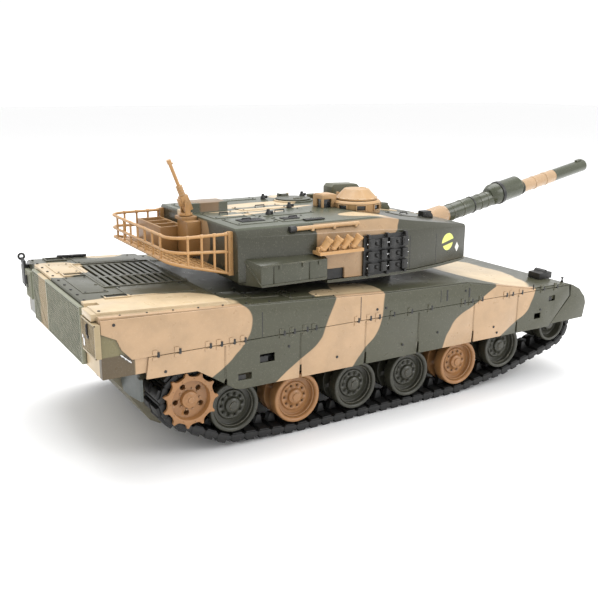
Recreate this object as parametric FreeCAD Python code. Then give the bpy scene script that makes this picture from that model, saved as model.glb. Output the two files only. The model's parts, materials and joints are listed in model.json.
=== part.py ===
import FreeCAD, Part
import math
import os

# Radio-controlled toy battle tank, 1:24.  Millimetres.
# +X is forward (the way the gun points), +Y is the tank's left, +Z is up.
# Geometry is written in hull coordinates, whose X zero is near the rearmost road wheel.
# export() shifts every piece so that the origin is the bottom centre of the whole model.

V = FreeCAD.Vector

# ---------------------------------------------------------------- driving dimensions
HALF_WIDTH = 71.5            # outer face of the side skirts
PANEL_T = 1.5                # side panel and skirt thickness
WALL = 1.8                   # moulded shell thickness
GAP = 0.3                    # clearance between pieces that move past each other
RUN_FIT = 0.05               # radial running clearance of a shaft in its bore
REAR_X = -73.0               # rearmost point of the model

WHEEL_R = 13.84
WHEEL_X = (0.4, 37.9, 75.8, 113.7, 151.6, 187.0)
WHEEL_Z = (23.0, 20.3, 20.3, 20.3, 20.3, 24.8)
WHEEL_OUT = 66.9             # outer face of a wheel pair
WHEEL_IN = 46.0              # inner face of a wheel pair
DISC_GAP = (54.5, 60.3)      # the gap between the discs, where the guide horns run
AXLE_R = 1.5
AXLE_END = 63.4
AXLE_ROOT = 38.6
SPROCKET_X = -24.5
SPROCKET_Z = 32.2
SPROCKET_TEETH = 11
SPROCKET_TIP_R = 14.65
SPROCKET_ROOT_R = 12.3
SPROCKET_DRUM_R = 10.9
SHAFT_R = 2.0
IDLER_X = 230.5
IDLER_Z = 33.0
IDLER_R = 11.2

LINK_PITCH = 8.0             # nominal, adjusted to a whole number of links
LINK_IN = 2.9                # pitch line to the link's inner face
LINK_OUT = 3.26              # pitch line to the link's outer face
TRACK_Y = (45.0, 67.0)
HORN_Y = (55.3, 59.5)
HORN_H = 4.5

TUB_Y = 41.0                 # half width of the lower hull
TUB_TOP = 51.0
BELLY_Z = 11.0
FENDER_Z = 51.2              # underside of the fender floor
HINGE_Z = 59.0               # line between the upper side panels and the skirts
SKIRT_Z = 33.6               # lower edge of the skirts

# Top of the hull along its sides, and the engine deck raised above it between the ledges.
SIDE_DECK = ((-68.2, 81.0), (0.0, 78.0), (90.0, 73.0), (152.0, 71.3), (206.0, 60.9), (237.0, 60.2))
DECK = ((-68.2, 82.5), (-3.2, 79.6)) + SIDE_DECK[1:]
LEDGE_Y = 66.0               # half width of the raised deck

GRILLE = (-48.0, -5.0, -17.0, 41.0)        # x0, x1, y0, y1 of the engine grille
NOTCH_INN = 46.6             # the step in the deck's rear edge, right of the middle
NOTCH_OUT = 51.6
DOOR_X = (22.0, 84.0)        # battery door in the belly
SWITCH_X = 112.0             # power switch in its off position
LAMP = (235.0, 50.5)         # headlight block, x and y
SCREW_PLACES = ((-22.0, 0.0), (10.0, 34.0), (10.0, -34.0), (200.0, 30.0), (200.0, -30.0))
SKIRT_SEAMS = (-6.5, 37.0, 78.5, 115.5, 157.5, 193.5)
# x, z, width and height of the openings in each skirt
SKIRT_HOLES = ((13.0, 45.6, 8.6, 4.6), (0.6, 38.4, 7.6, 3.6), (221.0, 50.4, 5.6, 3.6),
               (209.0, 40.4, 5.6, 3.6))

RING_X = 92.0                # turret axis
RING_R = 40.0                # inside radius of the turret ring
RING_TOP = 77.6

ROOF_Z = 112.0
ROOF_FLAT_X = 95.0           # the roof is level behind this and slopes down ahead of it
ROOF_FRONT_Z = 99.8
TURRET_REAR_X = 10.0
TURRET_FRONT_X = 176.0
BUSTLE_Z = 84.0
BUSTLE_X = 62.0
TURRET_FLOOR = 78.6
SHELL_FOOT = TURRET_FLOOR + WALL + 0.02    # lower edge of the turret shell, above its base plate
# half width of the turret and height of its side walls' top edge, along X
PLAN = ((TURRET_REAR_X, 53.5), (60.0, 56.5), (95.0, 58.5), (121.0, 58.5), (142.0, 54.4), (169.0, 47.0))
SIDE_TOP = ((TURRET_REAR_X, 107.6), (60.0, 106.6), (95.0, 105.4), (121.0, 103.6), (142.0, 101.8),
            (169.0, 99.4))

GUN_X = 150.0                # trunnion
GUN_Z = 90.0
GUN_ELEVATION = 11.5         # degrees above level in the stored pose
GUN_LENGTH = 178.6           # trunnion to muzzle
MUZZLE_R = 4.3
EVACUATOR_U = (86.5, 110.0)  # the smoke evacuator's ends, from the trunnion
BORE_R = 2.5
NOTCH_X = 139.0              # rear wall of the opening in the turret front
NOTCH_Y = 10.3               # its half width
TRUNNION_R = 2.5

CUPOLA = (110.0, -14.0)
CUPOLA_R = 14.5
CUPOLA_TOP = 116.2
HATCH_TOP = 122.6
COMMANDER_HINGE = (CUPOLA[1] + 13.4, CUPOLA_TOP + 2.0)       # (y, z) of the pin along X
GUNNER_HATCH = (88.0, 24.0)
GUNNER_HINGE = (GUNNER_HATCH[1] + 13.0, ROOF_Z + 2.3)        # (y, z) of the pin along X
HINGE_PIN_R = 0.5

BASKET_Y = 47.0              # half width of the basket, at the middle of its rails
BASKET_REAR = -23.6
RAIL_R = 0.8

MG_X = 5.0                   # machine gun pivot
MG_Y = 1.0
MG_Z = 119.5
MG_LEAN = 21.0               # degrees behind vertical in the stored pose

muzzle_x = (GUN_X + GUN_LENGTH * math.cos(math.radians(GUN_ELEVATION))
            + MUZZLE_R * math.sin(math.radians(GUN_ELEVATION)))
ORIGIN_X = (muzzle_x + REAR_X) / 2


# ---------------------------------------------------------------- small helpers
def box(x0, x1, y0, y1, z0, z1):
    return Part.makeBox(x1 - x0, y1 - y0, z1 - z0, V(x0, y0, z0))


def polygon_face(points):
    return Part.Face(Part.makePolygon(points + [points[0]]))


def prism_y(outline, y0, y1):
    """Extrude an (x, z) outline from y0 to y1."""
    return polygon_face([V(x, y0, z) for x, z in outline]).extrude(V(0, y1 - y0, 0))


def prism_z(outline, z0, z1):
    """Extrude an (x, y) outline from z0 to z1."""
    return polygon_face([V(x, y, z0) for x, y in outline]).extrude(V(0, 0, z1 - z0))


def cyl_y(x, z, r, y0, y1):
    return Part.makeCylinder(r, y1 - y0, V(x, y0, z), V(0, 1, 0))


def cyl_z(x, y, r, z0, z1):
    return Part.makeCylinder(r, z1 - z0, V(x, y, z0), V(0, 0, 1))


def rod(start, end, r):
    return Part.makeCylinder(r, (end - start).Length, start, end - start)


def turned_y(x, z, outline):
    """Revolve an outline of (radius, y) points about the line along Y at (x, z)."""
    face = polygon_face([V(x + r, y, z) for r, y in outline])
    return face.revolve(V(x, 0, z), V(0, 1, 0), 360)


def fuse(first, *others):
    return first.multiFuse(list(others)).removeSplitter()


def on_side(shape, side):
    """The left piece as it is, or its mirror image for the right side."""
    if side > 0:
        return shape
    return shape.mirror(V(0, 0, 0), V(0, 1, 0))


def cut_beyond(shape, point, normal):
    """Remove everything on the normal's side of a plane."""
    big = 400.0
    block = Part.makeBox(big, big, big, V(-big / 2, -big / 2, 0))
    block.Placement = FreeCAD.Placement(point, FreeCAD.Rotation(V(0, 0, 1), normal))
    return shape.cut(block)


def export(node, shape):
    """Write one node, moved from hull coordinates into the row frame."""
    moved = shape.copy()
    moved.translate(V(-ORIGIN_X, 0, 0))
    solids = moved.Solids
    valid = all(s.isValid() for s in solids)
    print(node, len(solids), "solids", round(sum(s.Volume for s in solids), 1), "valid", valid)
    if len(solids) > 1:
        Part.makeCompound(solids).exportStep("parts/" + node + ".step")
    else:
        solids[0].exportStep("parts/" + node + ".step")


def deck_z(x, line=DECK):
    """Height of the deck's top surface."""
    for (x0, z0), (x1, z1) in zip(line, line[1:]):
        if x <= x1:
            return z0 + (z1 - z0) * (x - x0) / (x1 - x0)
    return line[-1][1]


def roof_z(x):
    """Height of the turret roof's surface."""
    if x <= ROOF_FLAT_X:
        return ROOF_Z
    fall = (ROOF_Z - ROOF_FRONT_Z) / (TURRET_FRONT_X - ROOF_FLAT_X)
    return ROOF_Z - fall * (x - ROOF_FLAT_X)


# ---------------------------------------------------------------- hull shells
def lower_hull():
    outer = [(-64, TUB_TOP), (-50, 34), (-36, 14), (-31, BELLY_Z), (206, BELLY_Z),
             (221, 15), (244, 38), (244, TUB_TOP)]
    inner = [(-61, TUB_TOP + 1), (-61, TUB_TOP - 2), (-48, 35), (-35, 15.5), (-30, BELLY_Z + WALL),
             (205, BELLY_Z + WALL), (220, 17), (242, 39), (242, TUB_TOP + 1)]
    tub = prism_y(outer, -TUB_Y, TUB_Y).cut(prism_y(inner, -TUB_Y + WALL, TUB_Y - WALL))
    bosses = []
    bores = []
    seats = list(zip(WHEEL_X, WHEEL_Z)) + [(IDLER_X, IDLER_Z)]
    for x, z in seats:
        bosses.append(cyl_y(x, z, 3.4, AXLE_ROOT - 0.6, TUB_Y + 1.2))
        bosses.append(cyl_y(x, z, 3.4, -TUB_Y - 1.2, -AXLE_ROOT + 0.6))
        bores.append(cyl_y(x, z, AXLE_R + 0.02, AXLE_ROOT, TUB_Y + 2))
        bores.append(cyl_y(x, z, AXLE_R + 0.02, -TUB_Y - 2, -AXLE_ROOT))
    tub = fuse(tub, *bosses)
    bores.append(cyl_y(SPROCKET_X, SPROCKET_Z, SHAFT_R + RUN_FIT, -TUB_Y - 2, TUB_Y + 2))
    bores.append(box(DOOR_X[0] + 3, DOOR_X[1] - 3, -18, 18, BELLY_Z - 1, BELLY_Z + 3))
    bores.append(box(SWITCH_X - 3, SWITCH_X + 9, -1.6, 1.6, BELLY_Z - 1, BELLY_Z + 3))
    for x, y in SCREW_PLACES:
        bores.append(cyl_z(x, y, 1.35, BELLY_Z - 1, BELLY_Z + 3))
    for bore in bores:
        tub = tub.cut(bore)
    rails = []
    for side in (-1, 1):
        web = box(DOOR_X[0] - 6, DOOR_X[1] + 6, 22.3, 24, 8.2, BELLY_Z + 0.2)
        lip = box(DOOR_X[0] - 6, DOOR_X[1] + 6, 20.6, 24, 7.2, 8.2)
        rails.append(on_side(web.fuse(lip), side))
    skids = []
    for side in (-1, 1):
        for x in (20.0, 95.0, 170.0):
            skids.append(on_side(box(x, x + 14, TUB_Y - 0.5, 53.0, 40.4, 43.1), side))
    tray = box(22.6, 84.2, -26.5, 26.5, BELLY_Z + 1, 24)
    tray = tray.cut(box(24, 82.8, -25, 25, 5, 30)).cut(box(20, 90, -8, 8, 20, 30))
    cradle = box(SWITCH_X - 5, SWITCH_X + 11, -4, 4, BELLY_Z + 1, 21)
    cradle = cradle.cut(box(SWITCH_X - 3, SWITCH_X + 9, -1.6, 1.6, 5, 17))
    return fuse(tub, tray, cradle, *(rails + skids))


def deck_notch():
    """Step cut out of the deck's rear edge, beside the right hand corner."""
    return box(-75, -62.0, -NOTCH_OUT, -NOTCH_INN, 75.5, 90)


def upper_hull():
    side = HALF_WIDTH - PANEL_T - 0.1
    foot = [(241, 58.6), (241, FENDER_Z), (-68.2, FENDER_Z)]
    outer = prism_y(list(SIDE_DECK) + foot, -side, side)
    outer = outer.fuse(prism_y(list(DECK) + foot, -LEDGE_Y, LEDGE_Y))
    outer = outer.fuse(box(-70.8, -68.2, -LEDGE_Y, -NOTCH_OUT, 78.6, 82.0))
    inner = [(-66.4, FENDER_Z + 1.5)] + [(-66.4, 79.0), (0, 76.2), (90, 71.2), (151.6, 69.5)]
    inner += [(205.6, 59.1), (236.5, 58.4), (239.2, 57.4), (239.2, FENDER_Z + 1.5)]
    hollow = prism_y(inner, -side + WALL, side - WALL)
    hollow = hollow.cut(box(-80, -60.2, -NOTCH_OUT - 1.6, -NOTCH_INN + 1.6, 73.9, 90))
    shell = outer.cut(hollow).cut(deck_notch())
    shell = shell.cut(box(-61, 239.2, -TUB_Y + 2.5, TUB_Y - 2.5, FENDER_Z - 1, FENDER_Z + 2))
    nose_out = [(239, 59.1), (248, 55.6), (253.0, 48), (250, 42), (246, 39), (244.3, 39),
                (244.3, FENDER_Z), (239, FENDER_Z)]
    nose_in = [(238, 57.6), (247, 54.1), (250.8, 48), (248.6, 43.4), (246, 41),
               (246, FENDER_Z + 1.5), (238, FENDER_Z + 1.5)]
    nose = prism_y(nose_out, -TUB_Y - 1.5, TUB_Y + 1.5)
    nose = nose.cut(prism_y(nose_in, -TUB_Y + 0.3, TUB_Y - 0.3))
    shell = fuse(shell, nose)
    shell = shell.cut(cyl_z(RING_X, 0, RING_R + 4.7, 60, 90))
    x0, x1, y0, y1 = GRILLE
    shell = shell.cut(box(x0 - 0.1, x1 + 0.1, y0 - 0.1, y1 + 0.1, 70, 90))
    ledge = [box(x0 - 2, x1 + 1.5, y - 1.6, y + 1.6, 72, 80) for y in (y0 - 0.4, y1 + 0.4)]
    slab = prism_y([(x0 - 2, deck_z(x0 - 2) - 5), (x0 - 2, deck_z(x0 - 2) - 1.75),
                    (x1 + 1.5, deck_z(x1 + 1.5) - 1.75), (x1 + 1.5, deck_z(x1 + 1.5) - 5)], y0 - 3, y1 + 3)
    for strip in ledge:
        shell = shell.fuse(strip.common(slab))
    return shell.removeSplitter()


def engine_grille():
    x0, x1, y0, y1 = GRILLE
    outline = [(x0, deck_z(x0)), (x1, deck_z(x1)), (x1, deck_z(x1) - 1.7), (x0, deck_z(x0) - 1.7)]
    plate = prism_y(outline, y0, y1)
    count = 10
    pitch = (x1 - x0 - 4) / count
    middle = y0 + 24.0
    for i in range(count):
        x = x0 + 2.6 + i * pitch
        plate = plate.cut(box(x, x + 1.9, y0 + 2, middle - 1.2, 70, 90))
        plate = plate.cut(box(x, x + 1.9, middle + 1.2, y1 - 2, 70, 90))
    return plate


def rear_panel():
    """The rear wall's grille plate, in a raised frame, with a smaller box on each side."""
    frame = box(-70.6, -68.4, -46.5, 46.5, 52.2, 81.0)
    frame = frame.cut(box(-71.5, -69.8, -45.7, 45.7, 53.0, 80.2))
    frame = frame.fuse(box(-70.6, -69.4, 15.4, 16.6, 53, 81))
    for side, y1 in ((-1, HALF_WIDTH), (1, 62.9)):
        cover = box(-70.9, -68.4, 50.6, y1, 62.0, 78.2)
        strip = box(-69.4, -68.4, 46, 51, 62.0, 75.2)
        frame = frame.fuse(on_side(cover.fuse(strip), side))
    return frame.removeSplitter()


def side_panel(side):
    y0 = HALF_WIDTH - PANEL_T
    outline = [(-68.2, deck_z(-68.2, SIDE_DECK) - 1.2), (-68.2, 73.4), (-61, 69.8), (-58.8, 64.4),
               (-54.0, HINGE_Z + 0.1), (240, HINGE_Z + 0.1), (237, deck_z(237, SIDE_DECK) - 0.1)]
    top = [(x, deck_z(x, SIDE_DECK) - 0.6) for x in (206, 152, 90, 0)]
    return on_side(prism_y(outline + top, y0, HALF_WIDTH), side)


def skirt(side):
    y0 = HALF_WIDTH - PANEL_T
    outline = [(-46, HINGE_Z - 0.1), (-47.6, 48.2), (-21.5, 47.7), (-14, 43.0), (-1.1, 34.4),
               (3, SKIRT_Z), (222.5, SKIRT_Z), (240, 52), (239, HINGE_Z - 0.1)]
    plate = prism_y(outline, y0, HALF_WIDTH)
    for x in SKIRT_SEAMS:
        plate = plate.cut(box(x - 0.35, x + 0.35, y0 + 0.9, HALF_WIDTH + 1, SKIRT_Z - 1, HINGE_Z - 1))
        plate = plate.cut(box(x - 0.7, x + 0.9, y0 - 1, HALF_WIDTH + 1, SKIRT_Z - 1, SKIRT_Z + 7))
    for x, z, w, h in SKIRT_HOLES:
        plate = plate.cut(box(x, x + w, y0 - 1, HALF_WIDTH + 1, z, z + h))
    return on_side(plate, side)


def front_fender(side):
    """Curved mudguard ahead of the skirt, over the idler."""
    y0 = HALF_WIDTH - PANEL_T
    plate = [(240.4, HINGE_Z - 0.1), (240.9, 51.6), (224, 35.0), (254.2, 35.4), (256, 45),
             (254.6, 49.4), (249, 55.4), (243, 58.4)]
    apron_out = [(241.4, 59.1), (249, 55.4), (254.6, 49.4), (256, 45), (254.2, 35.4), (252.6, 35.4)]
    apron_in = [(254.2, 45), (253, 49), (248, 54), (241.4, 57.3)]
    flat = prism_y(plate, y0, HALF_WIDTH)
    apron = prism_y(apron_out + apron_in, TUB_Y + 1.8, HALF_WIDTH)
    return on_side(fuse(flat, apron), side)


def mud_flaps():
    flaps = []
    for side in (-1, 1):
        outline = [(36, 47.0), (70.0, 48.0), (70.0, 37), (52, 34.4), (44, 34.2)]
        face = polygon_face([V(-50.4, y, z) for y, z in outline])
        plate = face.extrude(V(1.3, 0, 0))
        plate = plate.cut(box(-60, -40, 0, TUB_Y + 0.2, 20, 60))
        tab = box(-50.4, -49.1, TUB_Y + 4, 66, 46, FENDER_Z - 0.1)
        flaps.append(on_side(fuse(plate, tab), side))
    return Part.makeCompound(flaps)


def headlights():
    lamps = []
    for side in (-1, 1):
        x, y = LAMP
        body = box(x - 7, x + 4.4, y - 5, y + 5, 60.42, 64.6)
        body = body.cut(box(x + 3.4, x + 6, y - 4, y + 4, 61.0, 64.0))
        body = body.fuse(cyl_y(x - 1, 64.4, 2.0, y - 4, y + 4))
        lamps.append(on_side(body.removeSplitter(), side))
    return Part.makeCompound(lamps)


def rear_bracket():
    """Bracket on the left rear corner: a bar, an arm out to a lifting ring, and a marker plate."""
    bar = box(-71.4, -68.25, 63.2, 65.4, 67.2, 80.0)
    profile = [(63.2, 78.6), (67.0, 78.6), (71.2, 81.8), (70.8, 83.4), (63.2, 82.4)]
    arm = polygon_face([V(-71.4, y, z) for y, z in profile]).extrude(V(1.5, 0, 0))
    ring = Part.makeTorus(1.65, 0.65, V(-70.7, 70.8, 83.8), V(0, 1, 0))
    plate = box(-71.2, -70.2, 65.2, 71.4, 67.6, 79.2)
    return fuse(bar, arm, ring, plate)


# ---------------------------------------------------------------- what is inside the hull
def battery():
    cells = []
    for i in range(4):
        cells.append(cyl_y(31.5 + i * 14.6, 20.6, 7.1, -24, 24))
    return Part.makeCompound(cells)


def battery_door():
    plate = box(DOOR_X[0], DOOR_X[1], -22, 22, 8.6, BELLY_Z - GAP)
    for i in range(5):
        x = DOOR_X[0] + 5 + i * 3
        plate = plate.cut(box(x, x + 1.2, -9, 9, 8, 9.1))
    return plate


def power_switch():
    knob = box(SWITCH_X - 1.5, SWITCH_X + 1.5, -3, 3, 8.6, BELLY_Z - GAP)
    stem = box(SWITCH_X - 1, SWITCH_X + 1, -1.2, 1.2, BELLY_Z - GAP, 16)
    return knob.fuse(stem).removeSplitter()


def gearboxes():
    cases = []
    for side in (-1, 1):
        case = box(-36, 16, 19, 37.8, 18.0, 44)
        case = case.cut(box(-2.2, 14.2, 17, 38.9, 20.6, 37.4))
        case = case.cut(cyl_y(SPROCKET_X, SPROCKET_Z, SHAFT_R + RUN_FIT, 26, 50))
        cases.append(on_side(case, side))
    return Part.makeCompound(cases)


def drive_motors():
    motors = []
    for side in (-1, 1):
        can = cyl_y(6.0, 29.0, 7.6, 14, 37.6)
        tail = cyl_y(6.0, 29.0, 2.2, 11.5, 14.5)
        motors.append(on_side(fuse(can, tail), side))
    return Part.makeCompound(motors)


def circuit_board():
    board = box(128, 196, -28, 28, 27, 28.6)
    for x in (134, 150, 166, 182):
        board = board.fuse(box(x, x + 8, -14, -6, 28.6, 30.4))
    board = board.fuse(cyl_z(146, 14, 4.0, 28.6, 38)).fuse(cyl_z(160, 14, 4.0, 28.6, 38))
    board = board.fuse(box(174, 190, 8, 22, 28.6, 34))
    for x in (130.5, 193.5):
        for y in (-25.5, 25.5):
            board = board.fuse(cyl_z(x, y, 1.8, BELLY_Z + WALL, 27))
    return board.removeSplitter()


def traverse_gearbox():
    """Sits on a bridge across the tub, and turns the turret by its centre shaft."""
    case = box(RING_X - 13, RING_X + 13, -12, 12, 44, 60)
    case = case.cut(cyl_z(RING_X, 0, 3.0 + RUN_FIT, 48, 61))
    bridge = box(RING_X - 9, RING_X + 9, -TUB_Y + WALL + 0.1, TUB_Y - WALL - 0.1, 41.5, 44)
    motor = cyl_y(RING_X - 20.0, 52, 7.4, -11, 11)
    return fuse(case, bridge, motor)


def axles():
    """Fixed stub axles, one for each road wheel and each idler."""
    stubs = []
    for side in (-1, 1):
        for x, z in list(zip(WHEEL_X, WHEEL_Z)) + [(IDLER_X, IDLER_Z)]:
            stubs.append(on_side(cyl_y(x, z, AXLE_R, AXLE_ROOT + 0.1, AXLE_END), side))
    return Part.makeCompound(stubs)


def screws():
    """Case screws, up through the belly into the upper hull."""
    made = []
    for x, y in SCREW_PLACES:
        head = cyl_z(x, y, 2.4, BELLY_Z - 1.3, BELLY_Z - 0.02)
        shank = cyl_z(x, y, 1.2, BELLY_Z - 0.1, BELLY_Z + 6)
        slot = box(x - 2, x + 2, y - 0.3, y + 0.3, BELLY_Z - 2, BELLY_Z - 0.7)
        made.append(fuse(head, shank).cut(slot))
    return Part.makeCompound(made)


def turret_ring():
    ring = cyl_z(RING_X, 0, RING_R + 4.5, 69.6, RING_TOP).cut(cyl_z(RING_X, 0, RING_R, 60, 90))
    flange = cyl_z(RING_X, 0, RING_R + 8.0, 66.6, 69.0).cut(cyl_z(RING_X, 0, RING_R, 60, 90))
    neck = cyl_z(RING_X, 0, RING_R + 3.5, 69.0, 69.6).cut(cyl_z(RING_X, 0, RING_R, 60, 90))
    return fuse(ring, flange, neck)


# ---------------------------------------------------------------- running gear
def wheel_pair(x, z, radius, hub_r, dish_r, holes, hole_r, hole_ring):
    """Two discs either side of a spacer, dished outside, with a hub cap and a blind axle bore."""
    a, b = DISC_GAP
    out = WHEEL_OUT
    outline = [(0, WHEEL_IN), (radius, WHEEL_IN), (radius, a), (hub_r, a), (hub_r, b), (radius, b),
               (radius, out - 0.6), (radius - 0.5, out), (dish_r + 0.6, out), (dish_r, out - 0.6),
               (dish_r - 0.8, out - 4.6), (dish_r - 3.4, out - 4.6), (dish_r - 3.8, out - 3.8),
               (4.4, out - 3.8), (4.0, out - 2.0), (2.4, out - 1.6), (0, out - 1.6)]
    wheel = turned_y(x, z, outline)
    wheel = wheel.cut(cyl_y(x, z, AXLE_R + RUN_FIT, WHEEL_IN - 1, AXLE_END + 0.4))
    rear_dish = cyl_y(x, z, dish_r, WHEEL_IN - 1, WHEEL_IN + 4).cut(cyl_y(x, z, hub_r, 40, 60))
    wheel = wheel.cut(rear_dish)
    for i in range(holes):
        angle = 2 * math.pi * i / holes
        hx = x + hole_ring * math.cos(angle)
        hz = z + hole_ring * math.sin(angle)
        wheel = wheel.cut(cyl_y(hx, hz, hole_r, out - 6.0, out + 1))
    pieces = []
    for y0, y1 in ((WHEEL_IN, a), (a, b), (b, out)):
        pieces += wheel.common(box(x - 20, x + 20, y0, y1, z - 20, z + 20)).Solids
    return Part.makeCompound(pieces)


def road_wheel(index):
    return wheel_pair(WHEEL_X[index], WHEEL_Z[index], WHEEL_R, 4.5, 11.6, 10, 0.75, 6.1)


def idler():
    return wheel_pair(IDLER_X, IDLER_Z, IDLER_R, 4.5, 9.2, 8, 0.75, 5.0)


def tooth_ring(y0, y1):
    """Flat ring with pointed teeth, its valleys scooped between them."""
    points = []
    step = 2 * math.pi / SPROCKET_TEETH
    shape = ((-0.50, SPROCKET_ROOT_R), (-0.30, SPROCKET_ROOT_R + 0.15), (-0.16, SPROCKET_ROOT_R + 0.7),
             (-0.055, SPROCKET_TIP_R), (0.055, SPROCKET_TIP_R), (0.16, SPROCKET_ROOT_R + 0.7),
             (0.30, SPROCKET_ROOT_R + 0.15))
    for tooth in range(SPROCKET_TEETH):
        for share, r in shape:
            angle = (tooth + share) * step
            points.append((SPROCKET_X + r * math.cos(angle), SPROCKET_Z + r * math.sin(angle)))
    return prism_y(points, y0, y1)


def sprocket(side):
    a, b = DISC_GAP
    x, z = SPROCKET_X, SPROCKET_Z
    out = 69.2
    drum = turned_y(x, z, [(0, 42.8), (SPROCKET_DRUM_R, 42.8), (SPROCKET_DRUM_R, a), (5.0, a),
                           (5.0, b), (SPROCKET_DRUM_R, b), (SPROCKET_DRUM_R, out), (0, out)])
    body = fuse(drum, tooth_ring(TRACK_Y[1] + GAP, out), tooth_ring(42.8, TRACK_Y[0] - GAP))
    dish = turned_y(x, z, [(0, out + 1), (10.4, out + 1), (9.8, out - 3.4), (4.6, out - 3.4),
                           (4.2, out - 1.2), (0, out - 1.2)])
    body = body.cut(dish)
    for i in range(5):
        angle = 2 * math.pi * (i + 0.6) / 5
        hx = x + 7.2 * math.cos(angle)
        hz = z + 7.2 * math.sin(angle)
        body = body.cut(cyl_y(hx, hz, 1.5, out - 7, out + 1))
    shaft = cyl_y(x, z, SHAFT_R, 28, 44)
    return on_side(fuse(body, shaft), side)


def track_path():
    """The pitch line: straight runs and arcs round the wheels, as (start, end) pieces."""
    margin = GAP + LINK_IN
    circles = [(SPROCKET_X, SPROCKET_Z, SPROCKET_DRUM_R + margin)]
    for i in (0, 1, 4, 5):
        circles.append((WHEEL_X[i], WHEEL_Z[i], WHEEL_R + margin))
    circles.append((IDLER_X, IDLER_Z, IDLER_R + margin))
    count = len(circles)
    leave = []
    for i in range(count):
        x0, z0, r0 = circles[i]
        x1, z1, r1 = circles[(i + 1) % count]
        dx, dz = x1 - x0, z1 - z0
        length = math.hypot(dx, dz)
        heading = math.atan2(dz, dx) + math.asin((r0 - r1) / length)
        leave.append(heading)
    pieces = []
    for i in range(count):
        x0, z0, r0 = circles[i]
        x1, z1, r1 = circles[(i + 1) % count]
        h = leave[i]
        start = (x0 + r0 * math.sin(h), z0 - r0 * math.cos(h))
        end = (x1 + r1 * math.sin(h), z1 - r1 * math.cos(h))
        pieces.append(("run", start, end, h))
        turn = (leave[(i + 1) % count] - h) % (2 * math.pi)
        pieces.append(("arc", (x1, z1, r1), turn, h))
    return pieces


def path_length(pieces):
    total = 0.0
    for piece in pieces:
        if piece[0] == "run":
            total += math.dist(piece[1], piece[2])
        else:
            total += piece[1][2] * piece[2]
    return total


def path_point(pieces, distance):
    """Position and heading at a distance along the pitch line."""
    for piece in pieces:
        if piece[0] == "run":
            length = math.dist(piece[1], piece[2])
            if distance <= length:
                share = distance / length
                x = piece[1][0] + (piece[2][0] - piece[1][0]) * share
                z = piece[1][1] + (piece[2][1] - piece[1][1]) * share
                return x, z, piece[3]
        else:
            x0, z0, r0 = piece[1]
            length = r0 * piece[2]
            if distance <= length:
                h = piece[3] + distance / r0
                return x0 + r0 * math.sin(h), z0 - r0 * math.cos(h), h
        distance -= length
    raise ValueError("past the end of the path")


def track_link():
    """One link at the origin, its length along X and its inner face towards +Z."""
    y0, y1 = TRACK_Y
    outline = [(-3.1, LINK_IN), (3.1, LINK_IN), (3.8, 0.5), (3.8, -1.5), (2.6, -LINK_OUT),
               (-2.6, -LINK_OUT), (-3.8, -1.5), (-3.8, 0.5)]
    plate = prism_y(outline, y0, y1)
    top = LINK_IN + HORN_H
    horn = prism_y([(-2.6, LINK_IN - 0.2), (2.6, LINK_IN - 0.2), (1.2, top), (-1.2, top)], *HORN_Y)
    return fuse(plate, horn)


def track(side):
    pieces = track_path()
    length = path_length(pieces)
    count = round(length / LINK_PITCH)
    pattern = track_link()
    ground = box(-100, 300, 0, 80, -5, 0)
    links = []
    for i in range(count):
        x, z, heading = path_point(pieces, (i + 0.5) * length / count)
        link = pattern.copy()
        turn = FreeCAD.Rotation(V(0, 1, 0), -math.degrees(heading))
        link.Placement = FreeCAD.Placement(V(x, 0, z), turn)
        if link.BoundBox.ZMin < -0.001:
            link = link.cut(ground).Solids[0]
        links.append(on_side(link, side))
    print("track", count, "links, pitch", round(length / count, 3))
    return Part.makeCompound(links)


# ---------------------------------------------------------------- turret shells
def turret_solid(inset):
    """The turret's closed outer form, or the same drawn in by a wall thickness."""
    rear = TURRET_REAR_X + inset
    front = TURRET_FRONT_X - inset
    plan = [(rear, PLAN[0][1] - inset)]
    plan += [(x - inset * 0.3, y - inset) for x, y in PLAN[1:-1]]
    plan += [(PLAN[-1][0] - inset, PLAN[-1][1] - inset * 0.7), (front, 6.0), (front, -6.0)]
    plan += [(PLAN[-1][0] - inset, inset * 0.7 - PLAN[-1][1])]
    plan += [(x - inset * 0.3, inset - y) for x, y in reversed(PLAN[1:-1])]
    plan += [(rear, inset - PLAN[0][1])]
    block = prism_z(plan, 70, 120)
    bottom = TURRET_FLOOR + inset
    step = BUSTLE_Z + inset
    profile = [(0, step), (BUSTLE_X - inset, step), (BUSTLE_X + inset, bottom), (162, bottom),
               (200, bottom + 2.4), (200, roof_z(200) - inset), (ROOF_FLAT_X, ROOF_Z - inset),
               (0, ROOF_Z - inset)]
    block = block.common(prism_y(profile, -80, 80))
    for (x0, y0), (x1, y1), (_, z0), (_, z1) in zip(PLAN, PLAN[1:], SIDE_TOP, SIDE_TOP[1:]):
        for side in (-1, 1):
            a = V(x0, side * y0, z0 - inset * 1.4)
            b = V(x1, side * y1, z1 - inset * 1.4)
            edge = b - a
            slope = V(0, -side * 4.0, 4.4)
            normal = edge.cross(slope)
            if normal.z < 0:
                normal = normal * -1
            block = cut_beyond(block, a, normal)
    return block.removeSplitter()


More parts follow.
